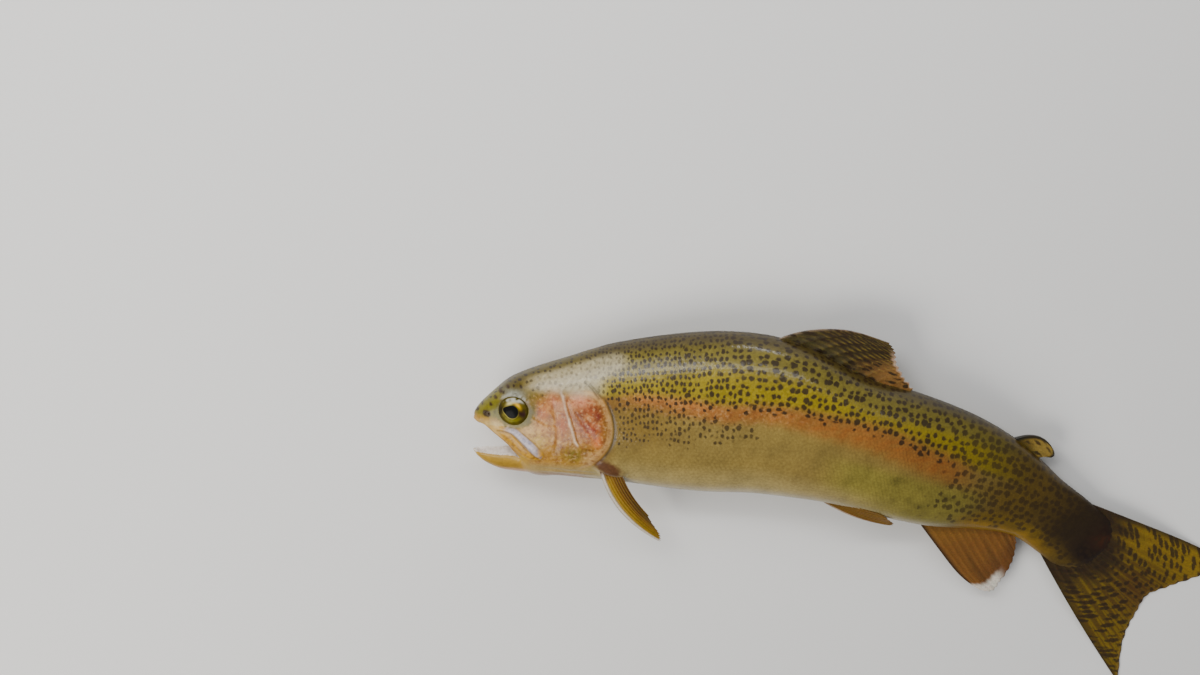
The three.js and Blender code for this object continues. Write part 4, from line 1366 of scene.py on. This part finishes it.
left_pectoral = fin_sheet(
    rays=9,
    root=lambda t: line(51 + 7.6 * t, -18.6 + 3.2 * t, 12 + 1.4 * t),
    tip=lambda t: along([(76.6, -57, -1), (77, -55, -1), (75, -51, 0), (71.5, -44, 2)], t),
    bow=lambda t, v: v * (1 - v) * np.array((8.8 * t - 17, 12.2 * t - 8.4, 4 + 3 * t)),
    ray=(1.3, 0.5), web=(0.8, 0.35), wave=0.5, seed=13,
)
right_pectoral = fin_sheet(
    rays=9,
    root=right_pectoral_root,
    tip=lambda t: along([(98, -29.4, -11.2), (98.5, -28, -12.4), (95.5, -25.5, -14), (90, -22.6, -15.6)], t),
    bow=lambda t, v: (0, -5 * v * (1 - v) * (1 - t), -v * (1 - v) * (3.5 + 2 * t)),
    ray=(1.2, 0.5), web=(0.7, 0.35), wave=0.2, seed=17,
)
grow_fin("pectoral_rays_left", "pectoral_fin_left", left_pectoral, pectoral_colour, no_spots)
grow_fin("pectoral_rays_right", "pectoral_fin_right", right_pectoral, pectoral_colour, no_spots)


def pelvic_colour(t, v, ridge, run):
    return layers(
        plain((104, 74, 36), t),
        ((150, 116, 60), 0.7 * ridge),
        ((200, 184, 164), 0.9 * ease(0.14, 0.02, t) * ease(0.1, 0.3, v)),
    )


def pelvic(side):
    tips = [(184, -29, 3.4), (185, -27.8, 4.8), (182, -25.4, 7), (177, -23.2, 9.2)]
    return fin_sheet(
        rays=9,
        root=lambda t: line(148 + 5 * t, -24.6 + 2.6 * t, side * (4.6 + 2.8 * t)),
        tip=lambda t: along(tips, t) * (1, 1, side),
        bow=lambda t, v: (0, -7 * v * (1 - v) * (1 - t), side * v * (1 - v) * (5 - t)),
        ray=(1.2, 0.5), web=(0.7, 0.35), wave=0.2, seed=19,
    )


for name, side in (("left", 1), ("right", -1)):
    grow_fin("pelvic_rays_" + name, "pelvic_fin_" + name, pelvic(side), pelvic_colour, no_spots)

# ---- Scales ----
# Small thin plates in slanting rows, each tucked under the one before it with its rear edge free, from behind
# the gill cover and the nape to the root of the tail. Their colours and spots are the skin's own.
SCALE_ROWS = 54
SCALE_STEP = 1.16
SCALE_START = 44.0
SCALE_END = 281.0
SCALE_SEEDS = {1: 23, -1: 29}
ROW_LIMIT = 0.985
PATCH = 0.003
PLATE_CORNERS = 10
PLATE_DEPTH = 0.001


def girth_point(x, share, side):
    """The skin's plain surface at a share of the way from the flank's middle to the back (+) or belly (-)."""
    out = []
    rows = np.arange(len(x))
    power = read(power_table, x)
    wide = read(width_table, x)
    for half_table, table in ((back_table, girth_back), (belly_table, girth_belly)):
        arc = np.stack([np.interp(x, girth_x, column) for column in table.T], 1)
        want = np.abs(share) * arc[:, -1]
        j = np.clip((arc < want[:, None]).sum(1) - 1, 0, len(girth_angle) - 2)
        part = (want - arc[rows, j]) / np.maximum(arc[rows, j + 1] - arc[rows, j], 1e-9)
        angle = girth_angle[j] + part * girth_angle[1]
        out.append((read(half_table, x) * np.sin(angle) ** power, wide * np.cos(angle) ** power))
    up = share > 0
    return line(x, np.where(up, out[0][0], -out[1][0]), side * np.where(up, out[0][1], out[1][1]))


def scale_roots(side):
    """Places and row steps for one side's scales, in a brick pattern."""
    around = girth_back[:, -1] + girth_belly[:, -1]
    x, columns = SCALE_START, []
    while x < SCALE_END:
        columns.append(x)
        x += SCALE_STEP * np.interp(x, girth_x, around) / SCALE_ROWS
    columns = np.array(columns)
    split = np.interp(columns, girth_x, girth_belly[:, -1] / around)
    step = np.interp(columns, girth_x, around) / SCALE_ROWS
    rng = np.random.default_rng(SCALE_SEEDS[side])
    places = []
    for row in range(SCALE_ROWS):
        share = (row + 0.5) / SCALE_ROWS
        signed = np.where(share > split, (share - split) / (1 - split), (share - split) / split) * ROW_LIMIT
        at = columns + 0.5 * SCALE_STEP * step * (row % 2) + rng.normal(0, 0.05, len(columns)) * step
        places.append(girth_point(np.minimum(at, SCALE_END + 1), signed, side))
    return np.concatenate(places), np.tile(step, SCALE_ROWS)


def scale_bed(side):
    """A point for each of one side's scales, with its size, the way it lies and the way out of the skin."""
    points, step = scale_roots(side)
    x, d = points[:, 0], points[:, 1]
    cover = outline_field(gill_cover_outline, np.minimum(x, 70), d)
    nape = 45 + 5 * ease(30, 14, d)
    past = np.maximum(x - TAIL_ROUND_START, 0)
    on_body = (cover > 1.6) & (x > np.where(d > 12, nape, 0)) & ((d < -21) | (x > 51)) & (x < SCALE_END)
    off_fin_root = np.hypot((x - 54.8) / 5.6, (d + 18.3 + 0.4 * (x - 55)) / 3.4) > 1
    keep = on_body & off_fin_root & ((past == 0) | (np.hypot(past / 17.5, (d - 1.5) / 16) < 1))
    small = (ease(1, 8, cover) * 0.45 + 0.55) * np.where(d > 12, ease(nape - 1, nape + 10, x) * 0.6 + 0.4, 1)
    points, out = on_skin(points[keep])
    ahead = points + (0.5, 0, 0)
    ahead[:, 2] *= read(width_table, ahead[:, 0]) / read(width_table, points[:, 0])
    start = place(points)
    bed = bpy.data.meshes.new("scale_bed")
    bed.from_pydata(start.tolist(), [], [])
    for name, way in (("lie", place(ahead) - start), ("out", place(points + 0.1 * out) - start)):
        store(bed, name, way / np.linalg.norm(way, axis=1)[:, None])
    store(bed, "root_place", line(points[:, 0] / 300, 0.5 + girth_at(*points.T) / 200, 0))
    store(bed, "size", (step * small)[keep] / 1000)
    made = bpy.data.objects.new("scale_bed", bed)
    bpy.context.collection.objects.link(made)
    return made


def scale_tree(skin_piece, finish):
    """Plates on the bed's points: rear edges raised, roots sunk in the skin, colours read from the skin."""
    tree = bpy.data.node_groups.new("scale_coat", "GeometryNodeTree")
    face = tree.interface
    face.new_socket("Geometry", in_out="INPUT", socket_type="NodeSocketGeometry")
    for name, value in (("Length", 1.75), ("Width", 1.5), ("Rise", 0.065), ("Sink", 0.052), ("Crown", 0.03)):
        face.new_socket(name, in_out="INPUT", socket_type="NodeSocketFloat").default_value = value
    face.new_socket("Geometry", in_out="OUTPUT", socket_type="NodeSocketGeometry")

    def put(kind, values=(), **settings):
        return add_node(tree, kind, values, **settings).outputs

    def maths(operation, *values):
        return put("ShaderNodeMath", dict(enumerate(values)), operation=operation)[0]

    def named(name, kind="FLOAT_VECTOR"):
        return put("GeometryNodeInputNamedAttribute", {"Name": name}, data_type=kind)[0]

    def stored(geometry, name, value, kind, domain="POINT"):
        values = {"Geometry": geometry, "Name": name, "Value": value}
        return put("GeometryNodeStoreNamedAttribute", values, data_type=kind, domain=domain)[0]

    given = put("NodeGroupInput")
    plate = put("GeometryNodeMeshCone", {
        "Vertices": PLATE_CORNERS, "Radius Top": 0.0, "Radius Bottom": 0.5, "Depth": PLATE_DEPTH,
    }, fill_type="TRIANGLE_FAN")["Mesh"]
    at = put("ShaderNodeSeparateXYZ", {0: put("GeometryNodeInputPosition")[0]})
    square = maths("ADD", maths("MULTIPLY", at[0], at[0]), maths("MULTIPLY", at[1], at[1]))
    radius = maths("MULTIPLY", 2.0, maths("SQRT", square))
    top = maths("GREATER_THAN", at[2], PLATE_DEPTH / 2)
    x = maths("MULTIPLY", at[0], given["Length"])
    y = maths("MULTIPLY", at[1], given["Width"])
    lifted = maths("SUBTRACT", maths("MULTIPLY", x, given["Rise"]), given["Sink"])
    lifted = maths("ADD", lifted, given["Rise"])
    crowned = maths("MULTIPLY", given["Crown"], maths("SUBTRACT", maths("MULTIPLY", top, 2.0), 1.0))
    z = maths("ADD", lifted, maths("MULTIPLY", crowned, maths("LESS_THAN", radius, 0.5)))
    shape = put("ShaderNodeCombineXYZ", {0: x, 1: y, 2: z})[0]
    shaped = put("GeometryNodeSetPosition", {"Geometry": plate, "Position": shape})[0]
    shaped = stored(shaped, "rim", maths("MINIMUM", radius, 1.0), "FLOAT")
    shaped = stored(shaped, "spread", put("ShaderNodeCombineXYZ", {0: at[0], 1: at[1]})[0], "FLOAT_VECTOR")
    turn = put("FunctionNodeAxesToRotation", {
        "Primary Axis": named("out"), "Secondary Axis": named("lie"),
    }, primary_axis="Z", secondary_axis="X")[0]
    jitter = put("FunctionNodeRandomValue", {
        "Min": (-0.02, -0.02, -0.06), "Max": (0.02, 0.02, 0.06), "Seed": 7,
    }, data_type="FLOAT_VECTOR")[0]
    turn = {"Rotation": turn, "Rotate By": jitter}
    turn = put("FunctionNodeRotateRotation", turn, rotation_space="LOCAL")[0]
    placed = put("GeometryNodeInstanceOnPoints", {
        "Points": given["Geometry"], "Instance": shaped, "Rotation": turn, "Scale": named("size", "FLOAT"),
    })[0]
    coat = put("GeometryNodeRealizeInstances", {"Geometry": placed})[0]
    source = put("GeometryNodeObjectInfo", {"Object": skin_piece})["Geometry"]
    paints = (("tone", "FLOAT_COLOR"), ("lattice", "FLOAT_VECTOR"), ("spotting", "FLOAT_VECTOR"))
    # The specks, with the stripe's painted glints, are read from the skin as well.
    for name, kind in (*paints, ("fleck", "FLOAT")):
        values = {"Mesh": source, "Value": named(name, kind)}
        coat = stored(coat, name, put("GeometryNodeSampleNearestSurface", values, data_type=kind)[0], kind)
    shift = put("ShaderNodeVectorMath", {0: named("spread"), "Scale": PATCH}, operation="SCALE")[0]
    patch_place = put("ShaderNodeVectorMath", {0: named("root_place"), 1: shift}, operation="ADD")[0]
    coat = stored(coat, "OFBake", patch_place, "FLOAT2", "CORNER")
    coat = put("GeometryNodeSetMaterial", {"Geometry": coat, "Material": finish})[0]
    add_node(tree, "NodeGroupOutput", {0: coat})
    return tree


coat_tree = scale_tree(skin, wet_skin("wet_scales", "rim"))
for name, side in (("left", 1), ("right", -1)):
    bed = scale_bed(side)
    maker = bed.modifiers.new("scales", "NODES")
    maker.node_group = coat_tree
    for socket in coat_tree.interface.items_tree:
        if socket.in_out == "INPUT" and socket.name != "Geometry":
            maker[socket.identifier] = socket.default_value
    grown = bed.evaluated_get(bpy.context.evaluated_depsgraph_get())
    coat_mesh = bpy.data.meshes.new_from_object(grown)
    coat_mesh.name = "scales_" + name
    for spare in ("spread", "root_place", "lie", "out", "size"):
        if spare in coat_mesh.attributes:
            coat_mesh.attributes.remove(coat_mesh.attributes[spare])
    bed.modifiers.clear()
    bpy.data.objects.remove(bed)
    scales = bpy.data.objects.new("scales_" + name, coat_mesh)
    bpy.context.collection.objects.link(scales)
    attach(scales, "root")
